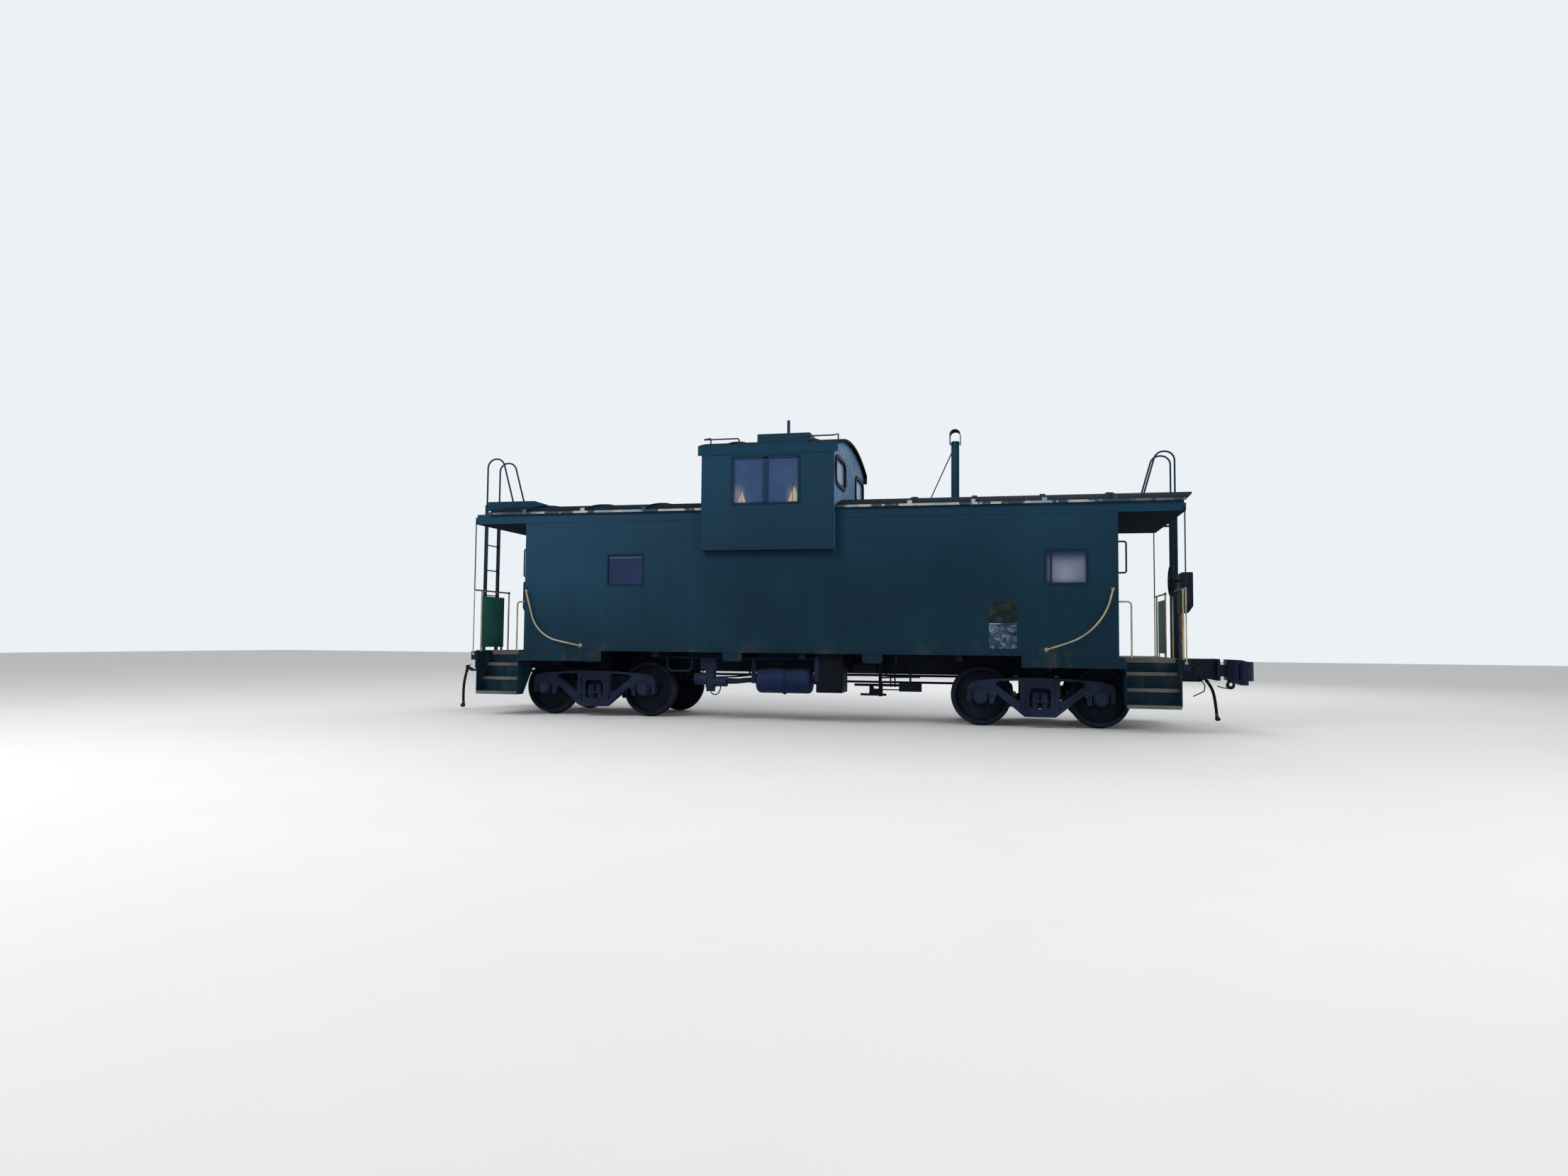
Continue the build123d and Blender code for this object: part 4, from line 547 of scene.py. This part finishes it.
# %% Lights in the window panes
# Soft lights: x, z, half width and half height, border, strength, warm or grey
LIT_PATCHES = (
    (-0.950, 3.330, 0.050, 0.150, 0.090, 0.35, "warm"),
    (-0.100, 3.330, 0.060, 0.120, 0.090, 0.45, "warm"),
    (-0.030, 3.420, 0.014, 0.220, 0.030, 0.50, "warm"),
    (3.800, 2.220, 0.250, 0.170, 0.080, 0.42, "grey"),
    (3.770, 2.180, 0.110, 0.110, 0.110, 0.50, "grey"),
    (-2.790, 2.461, 0.270, 0.006, 0.008, 0.30, "grey"),
)
# Pointed lights, wide at the sill: x, z of the sill, half width there and height
GABLES = ((-0.895, 3.222, 0.070, 0.215), (-0.095, 3.222, 0.110, 0.260))
# Dark uprights behind the panes: x, z, half width and half height, border
POST_LINES = ((-0.905, 3.310, 0.005, 0.130, 0.005), (-0.117, 3.380, 0.006, 0.160, 0.005))
WARM_LIGHT, GREY_LIGHT = tint(188, 172, 150), tint(142, 150, 164)
print("lights in the panes:", len(LIT_PATCHES) + len(GABLES), "and uprights:", len(POST_LINES))

# %% Window panes
NEAR_PANES, CUPOLA_PANES = (-1.3, -1.38), (2.9, 3.1)


def window_pane():
    pane = Finish("window_pane")
    near = pane.coordinate(1).step(*NEAR_PANES)
    haze = pane.noise(1.6, 4)
    film = pane.noise(30, 4, (1, 1, 0.5))
    high = pane.coordinate(2).step(*CUPOLA_PANES)
    lower = pane.blend(haze.step(0.35, 0.7), tint(32, 47, 76), tint(40, 53, 82))
    upper = pane.blend(haze.step(0.35, 0.7), tint(48, 70, 105), tint(60, 80, 113))
    colour = pane.blend(high, lower, upper)
    # The cupola's end panes are painted a pale blue for the sky light on them
    in_cupola_end = abs(pane.lies_toward(0)).step(0.5, 0.8) * high
    colour = pane.blend(in_cupola_end, colour, tint(98, 134, 186))
    for x, z, half_x, half_z, soft, strength, kind in LIT_PATCHES:
        lit = WARM_LIGHT if kind == "warm" else GREY_LIGHT
        colour = pane.blend(pane.patch(x, z, half_x, half_z, soft) * near * strength, colour, lit)
    for x, sill, half, rise in GABLES:
        slope = abs(pane.coordinate(0) - x) / half + (pane.coordinate(2) - sill - LIFT) / rise
        colour = pane.blend(slope.step(1.12, 0.88) * near * 0.8, colour, WARM_LIGHT)
    for x, z, half_x, half_z, soft in POST_LINES:
        colour = pane.blend(pane.patch(x, z, half_x, half_z, soft) * 0.8, colour, tint(40, 42, 48))
    clear = 0.86 + haze * 0.1 + film * 0.04
    rough = 0.12 + film * 0.14
    plastic = {"IOR": 1.49, "Specular IOR Level": 0.08}
    return pane.show({"Base Color": colour, "Roughness": rough, "Alpha": clear}, plastic)


keep_finish("window_pane", window_pane())

# %% Floor boards
def floor_board():
    wood = Finish("floor_board")
    grain = wood.noise(6, 6, (0.6, 14, 1))
    colour = wood.blend(grain, tint(84, 62, 44), tint(128, 102, 78))
    normal = wood.bump(grain, 0.3, 0.001)
    return wood.show({"Base Color": colour, "Roughness": 0.7 + grain * 0.1, "Normal": normal})


keep_finish("floor_board", floor_board())

# %% [markdown]
# ## Dressing the model
#
# Each piece of the model says in the record which material slot it takes, so
# one table from slot to finish dresses all of them, and a piece that changes
# its slot later takes its new finish without a change here. A second, short
# table holds the pieces that wear a shade of their own: the panels by the
# ladders are greener, and painted brighter for the sunlight on them, the stove
# pipe is greener, the ladders darker, the steps' edges are cream gone grey
# under boots, the tank is painted bluer than the castings round it for the sky
# light on it, and the levers and the battery box are the blackest of all.

# %% Give every node its finish
OWN_SHADES = {
    # The panels' brighter green is partly their paint and partly painted sunlight
    "safety_panels": body_paint("panel_paint_sunlit", tint(38, 100, 94), tint(54, 126, 116), side_light_and_shade=0.0),
    "smokestack": body_paint("pipe_paint", tint(13, 46, 56), tint(22, 60, 70)),
    "antenna": body_paint("box_paint", tint(14, 42, 58), tint(22, 54, 72)),
    "roof_overhangs": body_paint("overhang_paint", tint(18, 45, 61), tint(25, 57, 75), SOOTY),
    "step_nosings": cream_paint("nosing_paint", tint(96, 95, 90), tint(78, 78, 76), tint(70, 68, 66)),
    # The tank's bluer tone is painted sky light
    "air_tank": cast_steel("tank_paint_skylit", tint(15, 28, 56), tint(24, 40, 74)),
    "control_valve": FINISHES["cast_steel"],
    "ladders": body_paint("ladder_paint", tint(7, 25, 36), tint(11, 34, 47), side_light_and_shade=0.0),
    "uncoupling_levers": frame_black("lever_black", tint(8, 12, 20), tint(13, 18, 28), rusty=0.1),
    "equipment_box": frame_black("box_black", tint(5, 9, 19), tint(9, 14, 26), rusty=0.05),
}
for row in RECORD["subparts"]:
    piece = NODES[row["node"]]
    finish = OWN_SHADES.get(row["node"], FINISHES[row["material_slot"]])
    for place in piece.material_slots:
        place.material = finish
print("dressed", len(RECORD["subparts"]), "pieces in", len(FINISHES) + len(OWN_SHADES), "finishes")

# %% [markdown]
# ## The air hoses
#
# A brake hose is stiff wire-braided rubber, 45 mm thick and a little over half
# a metre long. Each one leaves the angle cock and hangs by its own weight, with
# its coupling at the bottom. It is drawn as a NURBS curve through a few control
# points, which bends as smoothly as the hose does, and a round bevel gives it
# its thickness.

# %% Small pieces
def aimed(middle, axis):
    """A place and a turn that bring Z onto the axis."""
    turn = Vector(axis).to_track_quat("Z", "Y").to_matrix().to_4x4()
    return Matrix.Translation(middle) @ turn


def add_stud(form, place, radius, tip, height, sides):
    """Adds a short, slightly tapered peg to a mesh."""
    shape = {"cap_ends": True, "segments": sides, "radius1": radius, "radius2": tip, "depth": height}
    bmesh.ops.create_cone(form, matrix=place, **shape)


def add_piece(name, form, body, slot, finish=None):
    """A small piece that moves with a body and wears that slot's finish, or one of its own."""
    mesh = bpy.data.meshes.new(name)
    form.to_mesh(mesh)
    form.free()
    mesh.materials.append(finish or FINISHES[slot])
    made = bpy.data.objects.new(name, mesh)
    bpy.context.collection.objects.link(made)
    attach(made, body)
    return made


print("small pieces ride a body and wear a slot's finish")

# %% Hang the hoses
HOSE_THICKNESS, HOSE_ROUNDNESS, HOSE_SMOOTHNESS = 0.045, 8, 16
BAND_PROUD, BAND_WIDE, BAND_FROM_END = 0.0025, 0.018, 0.022
HOSES = {
    "hose_left": (0.545, "glad_hand_left", (
        (-6.095, -0.330, 0.625), (-6.120, -0.332, 0.528), (-6.137, -0.335, 0.408),
        (-6.145, -0.334, 0.285), (-6.146, -0.331, 0.172), (-6.143, -0.329, 0.085))),
    "hose_right": (0.537, "glad_hand_right", (
        (5.925, 0.330, 0.632), (5.975, 0.330, 0.560), (6.012, 0.329, 0.455),
        (6.030, 0.328, 0.335), (6.044, 0.330, 0.222), (6.052, 0.332, 0.120))),
}


def hose_band(name, end, beyond):
    """A steel band round the hose, a little way in from its end."""
    run = (Vector(beyond) - Vector(end)).normalized()
    middle = Vector(end) + Vector((0, 0, LIFT)) + run * BAND_FROM_END
    radius = HOSE_THICKNESS / 2 + BAND_PROUD
    form = bmesh.new()
    add_stud(form, aimed(middle, run), radius, radius, BAND_WIDE, 32)
    return add_piece(name, form, "car", "wheel_steel", BARE_STEEL)


def hang_hose(node, route):
    line = bpy.data.curves.new(node + "_line", "CURVE")
    line.dimensions = "3D"
    line.bevel_depth = HOSE_THICKNESS / 2
    line.bevel_resolution = HOSE_ROUNDNESS
    line.resolution_u = HOSE_SMOOTHNESS
    line.use_fill_caps = True
    spline = line.splines.new("NURBS")
    spline.points.add(len(route) - 1)
    for point, (x, y, z) in zip(spline.points, route):
        point.co = (x, y, z + LIFT, 1)
    spline.order_u = 3
    spline.use_endpoint_u = True
    hose = bpy.data.objects.new(node + "_rubber", line)
    bpy.context.collection.objects.link(hose)
    line.materials.append(FINISHES["hose_rubber"])
    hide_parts(node)
    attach(hose, "car")
    x, y, z = route[0]
    bands = [
        hose_band(f"{node}_band_0", route[0], route[1]),
        hose_band(f"{node}_band_1", route[-1], route[-2]),
    ]
    z + LIFT
    return hose


for node, (length, coupling, route) in HOSES.items():
    hose = hang_hose(node, route)
    print(hose.name, length, "m")

# %% [markdown]
# ## Bolts, pads and flanges
#
# A welded body has few fasteners in sight, and those few set its scale: the row
# along each sill plate, the end sills, the strikers, the columns of the trucks
# and the flange of the air tank. An Array modifier repeats at one spacing only,
# and these groups have several, so one function takes a list of places, with
# the body that carries them and the way the heads point, and makes one mesh of
# each group. The round pads at the feet of the bent handrails are made so too.

# %% A function for bolt heads
TAPER = 0.88
NEAR, FAR, LEFT, RIGHT = (0, -1, 0), (0, 1, 0), (-1, 0, 0), (1, 0, 0)


def bolt_heads(name, body, slot, axis, radius, height, places, sides=6):
    """A group of heads or pads as one mesh. Returns how many there are."""
    form = bmesh.new()
    for x, y, z in places:
        middle = Vector((x, y, z + LIFT)) + Vector(axis) * (height / 2)
        add_stud(form, aimed(middle, axis), radius, radius * TAPER, height, sides)
    add_piece(name, form, body, slot)
    return len(places)


def along(start, stop, count):
    """Numbers at one spacing, from start to stop."""
    return [start + (stop - start) * k / (count - 1) for k in range(count)]


print("a head narrows to", TAPER, "of its radius")

# %% Bolts of the sill plates and the truck columns
SILL_PLATE_Y, SILL_BOLT_Z, SILL_BOLTS = 1.400, 0.985, 10
SILL_ENDS = (("left", -4.50, -3.22), ("right", 3.22, 4.50))
# Radius and height of a head
SILL_HEAD, COLUMN_HEAD = (0.010, 0.005), (0.018, 0.014)
COLUMN_Y, COLUMN_BOLT_X, COLUMN_BOLT_Z = 1.0555, (-0.247, 0.247), (0.300, 0.545)
heads = 0
for side, axis, word in ((-1, NEAR, "near"), (1, FAR, "far")):
    for end, x0, x1 in SILL_ENDS:
        row = [(x, side * SILL_PLATE_Y, SILL_BOLT_Z) for x in along(x0, x1, SILL_BOLTS)]
        heads += bolt_heads(f"sill_bolts_{word}_{end}", "car", "body_paint", axis, *SILL_HEAD, row)
    for truck, pivot in (("left", -PIVOT_X), ("right", PIVOT_X)):
        row = [(pivot + x, side * COLUMN_Y, z) for x in COLUMN_BOLT_X for z in COLUMN_BOLT_Z]
        name = f"column_bolts_{word}_{truck}"
        heads += bolt_heads(name, f"{truck}_truck", "cast_steel", axis, *COLUMN_HEAD, row)
print("bolts along the sides:", heads)

# %% Bolts of the end sills and the strikers
END_SILL_X, END_SILL_Y, END_SILL_Z = 5.390, (1.33, 1.05, 0.62, 0.34), (0.885, 0.950)
STRIKER_X, STRIKER_Y, STRIKER_Z = 5.9999, (0.180, 0.208), (0.73, 0.90)
END_SILL_HEAD, STRIKER_HEAD = (0.011, 0.006), (0.010, 0.008)
heads = 0
for end, axis, word in ((-1, LEFT, "left"), (1, RIGHT, "right")):
    row = [(end * END_SILL_X, side * y, z) for side in (-1, 1) for y in END_SILL_Y for z in END_SILL_Z]
    heads += bolt_heads(f"end_sill_bolts_{word}", "car", "body_paint", axis, *END_SILL_HEAD, row)
    row = [(end * STRIKER_X, side * y, z) for side in (-1, 1) for y in STRIKER_Y for z in STRIKER_Z]
    heads += bolt_heads(f"striker_bolts_{word}", "car", "frame_black", axis, *STRIKER_HEAD, row)
print("bolts at the ends:", heads)

# %% Bolts round the tank's flange
FLANGE_MIDDLE, FLANGE_REACH, FLANGE_BOLTS = Vector((-0.317, -1.050, 0.590 + LIFT)), 0.202, 14
LUG_RADIUS, LUG_TIP, LUG_HEIGHT, LUG_SIDES = 0.013, 0.011, 0.012, 6
lugs = bmesh.new()
for k in range(FLANGE_BOLTS):
    angle = math.tau * (k + 0.5) / FLANGE_BOLTS
    out = Vector((0, math.cos(angle), math.sin(angle)))
    turn = out.to_track_quat("Z", "X").to_matrix().to_4x4()
    place = Matrix.Translation(FLANGE_MIDDLE + out * FLANGE_REACH) @ turn
    add_stud(lugs, place, LUG_RADIUS, LUG_TIP, LUG_HEIGHT, LUG_SIDES)
add_piece("tank_flange_bolts", lugs, "car", "cast_steel")
print("bolts round the flange:", FLANGE_BOLTS)

# %% Round pads at the feet of the bent handrails
IRON_FEET = ((-4.431, 1.976), (-3.514, 1.096), (4.399, 1.965), (3.507, 1.104))
IRON_FOOT_Y, PAD_RADIUS, PAD_PROUD = 1.405, 0.030, 0.004
pads = 0
for side, axis, word in ((-1, NEAR, "near"), (1, FAR, "far")):
    row = [(-side * x, side * IRON_FOOT_Y, z) for x, z in IRON_FEET]
    pads += bolt_heads(f"iron_feet_{word}", "car", "cream_paint", axis, PAD_RADIUS, PAD_PROUD, row, sides=24)
print("pads at the handrail feet:", pads)

# %% [markdown]
# ## The blank data panel and a strap
#
# Near the right truck the side carries two thin plates, one over the other. The
# upper one is a dark olive black and the lower one a worn blue-grey where a pale
# coat has rubbed through. They are blank, and the mottling is wear. A flat
# steel strap hangs down the front of the battery box. Painted into the finish
# below them they would have no edges to catch the light, so all of these are
# thin blocks, a few millimetres proud of it.

# %% Finishes of the data panel
def worn_plate():
    plate = Finish("worn_plate")
    mottle = plate.noise(13, 6, (1, 1, 1), 0.7) * 0.7 + plate.noise(3.5, 3) * 0.3
    colour = plate.blend(mottle.step(0.46, 0.6), tint(38, 56, 72), tint(104, 122, 142))
    colour = plate.blend(plate.noise(7, 5).step(0.58, 0.64), colour, tint(16, 22, 26))
    normal = plate.bump(mottle, 0.3, 0.0008)
    return plate.show({"Base Color": colour, "Roughness": 0.6 + mottle * 0.1, "Normal": normal}, MATT)


def dark_plate():
    plate = Finish("dark_plate")
    mottle = plate.noise(9, 5)
    colour = plate.blend(mottle.step(0.4, 0.7), tint(18, 26, 26), tint(38, 48, 42))
    normal = plate.bump(mottle, 0.3, 0.0008)
    return plate.show({"Base Color": colour, "Roughness": 0.55 + mottle * 0.1, "Normal": normal}, MATT)


WORN_PLATE, DARK_PLATE = worn_plate(), dark_plate()
print("finishes of the panel:", WORN_PLATE.name, DARK_PLATE.name)

# %% Data panel
def block(form, low, high):
    """Adds a box between two corners."""
    low, high = Vector(low), Vector(high)
    size = Matrix.Diagonal((*(high - low), 1))
    bmesh.ops.create_cube(form, size=1, matrix=Matrix.Translation((low + high) / 2) @ size)


# Name, lower and upper edge, slot and finish
PLATES = (
    ("data_plate_upper", 1.490, 1.769, "frame_black", DARK_PLATE),
    ("data_plate_strip", 1.457, 1.469, "faded_paint", FINISHES["strip_paint"]),
    ("data_plate_lower", 1.115, 1.445, "faded_paint", WORN_PLATE),
)
PLATE_X, PLATE_Y = (2.722, 3.102), (-1.4080, -1.4049)
for name, z0, z1, slot, finish in PLATES:
    form = bmesh.new()
    block(form, (PLATE_X[0], PLATE_Y[0], z0 + LIFT), (PLATE_X[1], PLATE_Y[1], z1 + LIFT))
    add_piece(name, form, "car", slot, finish)
print("plates:", len(PLATES))

# %% Hanger strap of the battery box
STRAP_X, STRAP_Y, STRAP_Z = (0.186, 0.240), (-1.2590, -1.2515), (0.590, 0.965)
form = bmesh.new()
block(form, (STRAP_X[0], STRAP_Y[0], STRAP_Z[0] + LIFT), (STRAP_X[1], STRAP_Y[1], STRAP_Z[1] + LIFT))
add_piece("box_strap", form, "car", "cast_steel")
print("strap:", round(STRAP_Z[1] - STRAP_Z[0], 3), "m long")

# %% [markdown]
# ## Strips and seals round the cupola's windows
#
# The sliding sashes in the cupola's sides are held by broad painted strips, and
# a wider one covers the joint between the two panes: plain bars, so blocks do.
# The end windows have round corners and sit in a thick black rubber seal. A
# bevelled curve would make a round bead, and the real seal is flat, so each is
# a ring built from one rounded outline, drawn a little larger and a little
# smaller.

# %% Painted strips of the side windows
SASH_X, SASH_Z = (-1.040, -0.024), (3.244, 3.931)
SASH_MIDDLE, POST_HALF, BORDER = -0.532, 0.036, 0.020
STRIP_FACE, STRIP_BACK = 1.5495, 1.5315
for side, word in ((-1, "near"), (1, "far")):
    (x0, x1), (z0, z1) = SASH_X, SASH_Z
    bars = (
        (x0, x1, z1 - BORDER, z1), (x0, x1, z0, z0 + BORDER / 2),
        (x0, x0 + BORDER, z0, z1), (x1 - BORDER, x1, z0, z1),
        (SASH_MIDDLE - POST_HALF, SASH_MIDDLE + POST_HALF, z0, z1),
    )
    form = bmesh.new()
    for a, b, low, high in bars:
        y0, y1 = sorted((side * STRIP_FACE, side * STRIP_BACK))
        block(form, (a, y0, low + LIFT), (b, y1, high + LIFT))
    add_piece(f"sash_strips_{word}", form, "car", "body_paint")
print("sash strips on each side:", len(bars))

# %% Rubber seals of the end windows
SEAL_Y, SEAL_Z, SEAL_ROUND = (0.552, 1.378), (3.562, 3.938), 0.110
SEAL_INNER, SEAL_OUTER, SEAL_PROUD = -0.006, 0.050, 0.022
CUPOLA_ENDS = (-1.5305, 0.5005)


def rounded_outline(grow, steps=6):
    """Points round the window's rounded rectangle, moved outward by grow."""
    (y0, y1), (z0, z1), radius = SEAL_Y, SEAL_Z, SEAL_ROUND
    centres = ((y1 - radius, z1 - radius), (y0 + radius, z1 - radius),
               (y0 + radius, z0 + radius), (y1 - radius, z0 + radius))
    points = []
    for quarter, (y, z) in enumerate(centres):
        for k in range(steps + 1):
            angle = math.tau / 4 * (quarter + k / steps)
            points.append((y + (radius + grow) * math.cos(angle), z + (radius + grow) * math.sin(angle)))
    return points


def add_seal(form, wall, face, side):
    """Adds a flat ring round one window, standing out from the wall to its face."""
    rings = []
    for grow, x in ((SEAL_OUTER, wall), (SEAL_OUTER, face), (SEAL_INNER, face), (SEAL_INNER, wall)):
        rings.append([form.verts.new((x, side * y, z + LIFT)) for y, z in rounded_outline(grow)])
    for ring, following in zip(rings, rings[1:] + rings[:1]):
        for k in range(len(ring)):
            form.faces.new((ring[k - 1], ring[k], following[k], following[k - 1]))


for word, wall, out in (("left", CUPOLA_ENDS[0], -1), ("right", CUPOLA_ENDS[1], 1)):
    form = bmesh.new()
    for side in (-1, 1):
        add_seal(form, wall, wall + out * SEAL_PROUD, side)
    bmesh.ops.recalc_face_normals(form, faces=form.faces)
    add_piece(f"window_seals_{word}", form, "car", "gasket", BLACK_RUBBER)
print("window seals:", 2 * len(CUPOLA_ENDS))

# %% [markdown]
# ## Chains and small pipes
#
# The hand brake pulls a chain that hangs from its housing to the end sill. Each
# link is a closed loop of round bar, turned a quarter from its neighbour. The
# pipes round the control valve and the rods of the brake rigging are bent bars
# too. A curve with a round bevel draws them all, and it is then kept as a mesh,
# because a curve's own box is measured wider than the bar is.

# %% A function for bent bars
BAR_ROUNDNESS = 3


def bent_bars(name, radius, body, slot, lines, closed=False, finish=None):
    """Round bars along lines of points, as one mesh: closed rings with corners, or open and smooth."""
    curve = bpy.data.curves.new(name, "CURVE")
    curve.dimensions = "3D"
    curve.bevel_depth = radius
    curve.bevel_resolution = BAR_ROUNDNESS
    curve.use_fill_caps = not closed
    for line in lines:
        spline = curve.splines.new("POLY" if closed else "NURBS")
        spline.points.add(len(line) - 1)
        for point, (x, y, z) in zip(spline.points, line):
            point.co = (x, y, z + LIFT, 1)
        spline.use_cyclic_u = closed
        if not closed:
            spline.order_u = 3
            spline.use_endpoint_u = True
    drawn = bpy.data.objects.new(name + "_line", curve)
    bpy.context.collection.objects.link(drawn)
    ready = drawn.evaluated_get(bpy.context.evaluated_depsgraph_get())
    mesh = bpy.data.meshes.new_from_object(ready)
    bpy.data.objects.remove(drawn)
    mesh.materials.clear()
    mesh.materials.append(finish or FINISHES[slot])
    made = bpy.data.objects.new(name, mesh)
    bpy.context.collection.objects.link(made)
    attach(made, body)


print("roundness of the bars:", BAR_ROUNDNESS)

# %% Brake chains
LINK_LONG, LINK_WIDE, LINK_BAR = 0.040, 0.026, 0.0045
LINK_CORNERS = 14
# Gives each corner a half of the link where the sine is zero
NUDGE = 1e-6


def closed_link(centre, quarter):
    """Points round one link, which stands upright and lies along X or, a quarter turn on, along Y."""
    points = []
    for k in range(LINK_CORNERS):
        angle = math.tau * k / LINK_CORNERS
        straight = math.copysign((LINK_LONG - LINK_WIDE) / 2, math.sin(angle + NUDGE))
        up = (LINK_WIDE / 2) * math.sin(angle) + straight
        aside = (LINK_WIDE / 2) * math.cos(angle)
        x, y = (0, aside) if quarter else (aside, 0)
        points.append((centre[0] + x, centre[1] + y, centre[2] + up))
    return points


CHAIN_X, CHAIN_Y, CHAIN_TOP, CHAIN_FOOT = 5.377, 0.800, 1.655, 1.005
links = round((CHAIN_TOP - CHAIN_FOOT) / (LINK_LONG - 2 * LINK_BAR))
heights = [CHAIN_FOOT + (k + 0.5) * (CHAIN_TOP - CHAIN_FOOT) / links for k in range(links)]
for word, end in (("left", -1), ("right", 1)):
    rings = [closed_link((end * CHAIN_X, -end * CHAIN_Y, height), k % 2) for k, height in enumerate(heights)]
    bent_bars(f"brake_chain_{word}", LINK_BAR, "car", "wheel_steel", rings, closed=True, finish=BARE_STEEL)
print("links in each chain:", links)

# %% Small pipes at the control valve and rods of the brake rigging
ROD_Y, LINK_Y, VALVE_Y = -0.430, -0.450, -1.050
# Name, radius, and the points that each one follows
PIPES = (
    ("rigging_tube_inner", 0.021, (
        (0.655, ROD_Y, 0.525), (0.84, ROD_Y, 0.525), (1.030, ROD_Y, 0.525))),
    ("rigging_tube_outer", 0.021, (
        (1.080, ROD_Y, 0.525), (1.21, ROD_Y, 0.525), (1.352, ROD_Y, 0.525))),
    ("rigging_rod_high", 0.013, (
        (1.080, ROD_Y, 0.640), (1.37, ROD_Y, 0.655), (1.670, ROD_Y, 0.655))),
    ("rigging_link_inner", 0.012, (
        (1.212, LINK_Y, 0.800), (1.216, LINK_Y, 0.66), (1.222, LINK_Y, 0.500))),
    ("rigging_link_outer", 0.012, (
        (1.278, LINK_Y, 0.800), (1.282, LINK_Y, 0.66), (1.288, LINK_Y, 0.500))),
    ("valve_pipe_main", 0.034, (
        (-1.235, VALVE_Y, 0.560), (-1.10, VALVE_Y, 0.560), (-0.95, VALVE_Y, 0.580), (-0.84, VALVE_Y, 0.590))),
    ("rigging_rod_low", 0.010, (
        (0.960, ROD_Y, 0.457), (1.15, ROD_Y, 0.457), (1.352, ROD_Y, 0.457))),
    ("valve_pipe_tank", 0.011, (
        (-1.28, VALVE_Y, 0.58), (-1.10, VALVE_Y, 0.58), (-0.98, VALVE_Y, 0.62), (-0.80, VALVE_Y, 0.62))),
    ("valve_pipe_up", 0.011, (
        (-1.62, VALVE_Y, 0.66), (-1.62, VALVE_Y, 0.78), (-1.70, -0.98, 0.84), (-1.70, -0.90, 0.92))),
    ("valve_pipe_low", 0.009, (
        (-1.49, VALVE_Y, 0.40), (-1.46, VALVE_Y, 0.36), (-1.38, VALVE_Y, 0.36),
        (-1.33, VALVE_Y, 0.44), (-1.33, VALVE_Y, 0.52))),
    ("valve_pipe_back", 0.013, (
        (-1.44, -0.99, 0.62), (-1.44, -0.80, 0.62), (-1.20, -0.60, 0.62), (-0.90, -0.42, 0.66))),
)
for name, radius, route in PIPES:
    bent_bars(name, radius, "car", "frame_black", [route])
print("pipes and rods:", len(PIPES))

# %% [markdown]
# ## The studio
#
# The car stands on a plain pale floor under soft light from all round, as on an
# overcast day, with a broad lamp from the front left for shape, a weak one from
# the right and one behind. More light on it would wash the dark paint out, so
# only the camera, gloss and clear panes see a pale sky, and the rest of the
# light comes from a calmer grey, which Light Path tells apart.

# %% Floor
FLOOR_HALF = 60


def lay_floor():
    mesh = bpy.data.meshes.new("studio_floor")
    ground = bmesh.new()
    bmesh.ops.create_grid(ground, x_segments=8, y_segments=8, size=FLOOR_HALF)
    ground.to_mesh(mesh)
    ground.free()
    made = bpy.data.objects.new("studio_floor", mesh)
    bpy.context.collection.objects.link(made)
    pale = Finish("studio_floor")
    mottle = pale.noise(0.8, 3)
    colour = pale.blend(mottle, tint(226, 227, 228), tint(232, 233, 234))
    mesh.materials.append(pale.show({"Base Color": colour, "Roughness": 0.75 + mottle * 0.1}))


lay_floor()
print("floor:", 2 * FLOOR_HALF, "m across")

# %% Lamps
LAMP_SIZE = 9


def hang_lamp(name, place, aim, power):
    """A square lamp that points from its place at its aim."""
    light = bpy.data.lights.new(name, "AREA")
    light.size = LAMP_SIZE
    light.energy = power
    lamp = bpy.data.objects.new(name, light)
    lamp.location = place
    lamp.rotation_euler = (Vector(aim) - Vector(place)).to_track_quat("-Z", "Y").to_euler()
    bpy.context.collection.objects.link(lamp)


hang_lamp("key_lamp", (-9, -13, 11), (0, 0, 2), 1500)
hang_lamp("fill_lamp", (11, -11, 7), (1, 0, 2), 500)
hang_lamp("back_lamp", (4, 14, 12), (0, 0, 2), 900)
print("lamps:", len(bpy.data.lights))

# %% Sky
world = bpy.data.worlds.new("studio")
bpy.context.scene.world = world
world.use_nodes = True
sky = world.node_tree
sky.nodes.clear()


def glow(colour, strength):
    """One even light for the whole sky."""
    made = sky.nodes.new("ShaderNodeBackground")
    made.inputs["Color"].default_value = colour
    made.inputs["Strength"].default_value = strength
    return made.outputs[0]


soft = glow((1, 1, 1, 1), 0.55)
seen = glow((0.84, 0.88, 0.92, 1), 1.0)
path = sky.nodes.new("ShaderNodeLightPath")
choice = sky.nodes.new("ShaderNodeMixShader")
end = sky.nodes.new("ShaderNodeOutputWorld")
seen_by = path.outputs["Is Camera Ray"]
for ray in ("Is Glossy Ray", "Is Transmission Ray"):
    either = sky.nodes.new("ShaderNodeMath")
    either.operation = "MAXIMUM"
    sky.links.new(seen_by, either.inputs[0])
    sky.links.new(path.outputs[ray], either.inputs[1])
    seen_by = either.outputs[0]
sky.links.new(seen_by, choice.inputs[0])
sky.links.new(soft, choice.inputs[1])
sky.links.new(seen, choice.inputs[2])
sky.links.new(choice.outputs[0], end.inputs["Surface"])
bpy.context.scene.view_settings.view_transform = "Standard"
print("nodes in the sky:", len(sky.nodes))
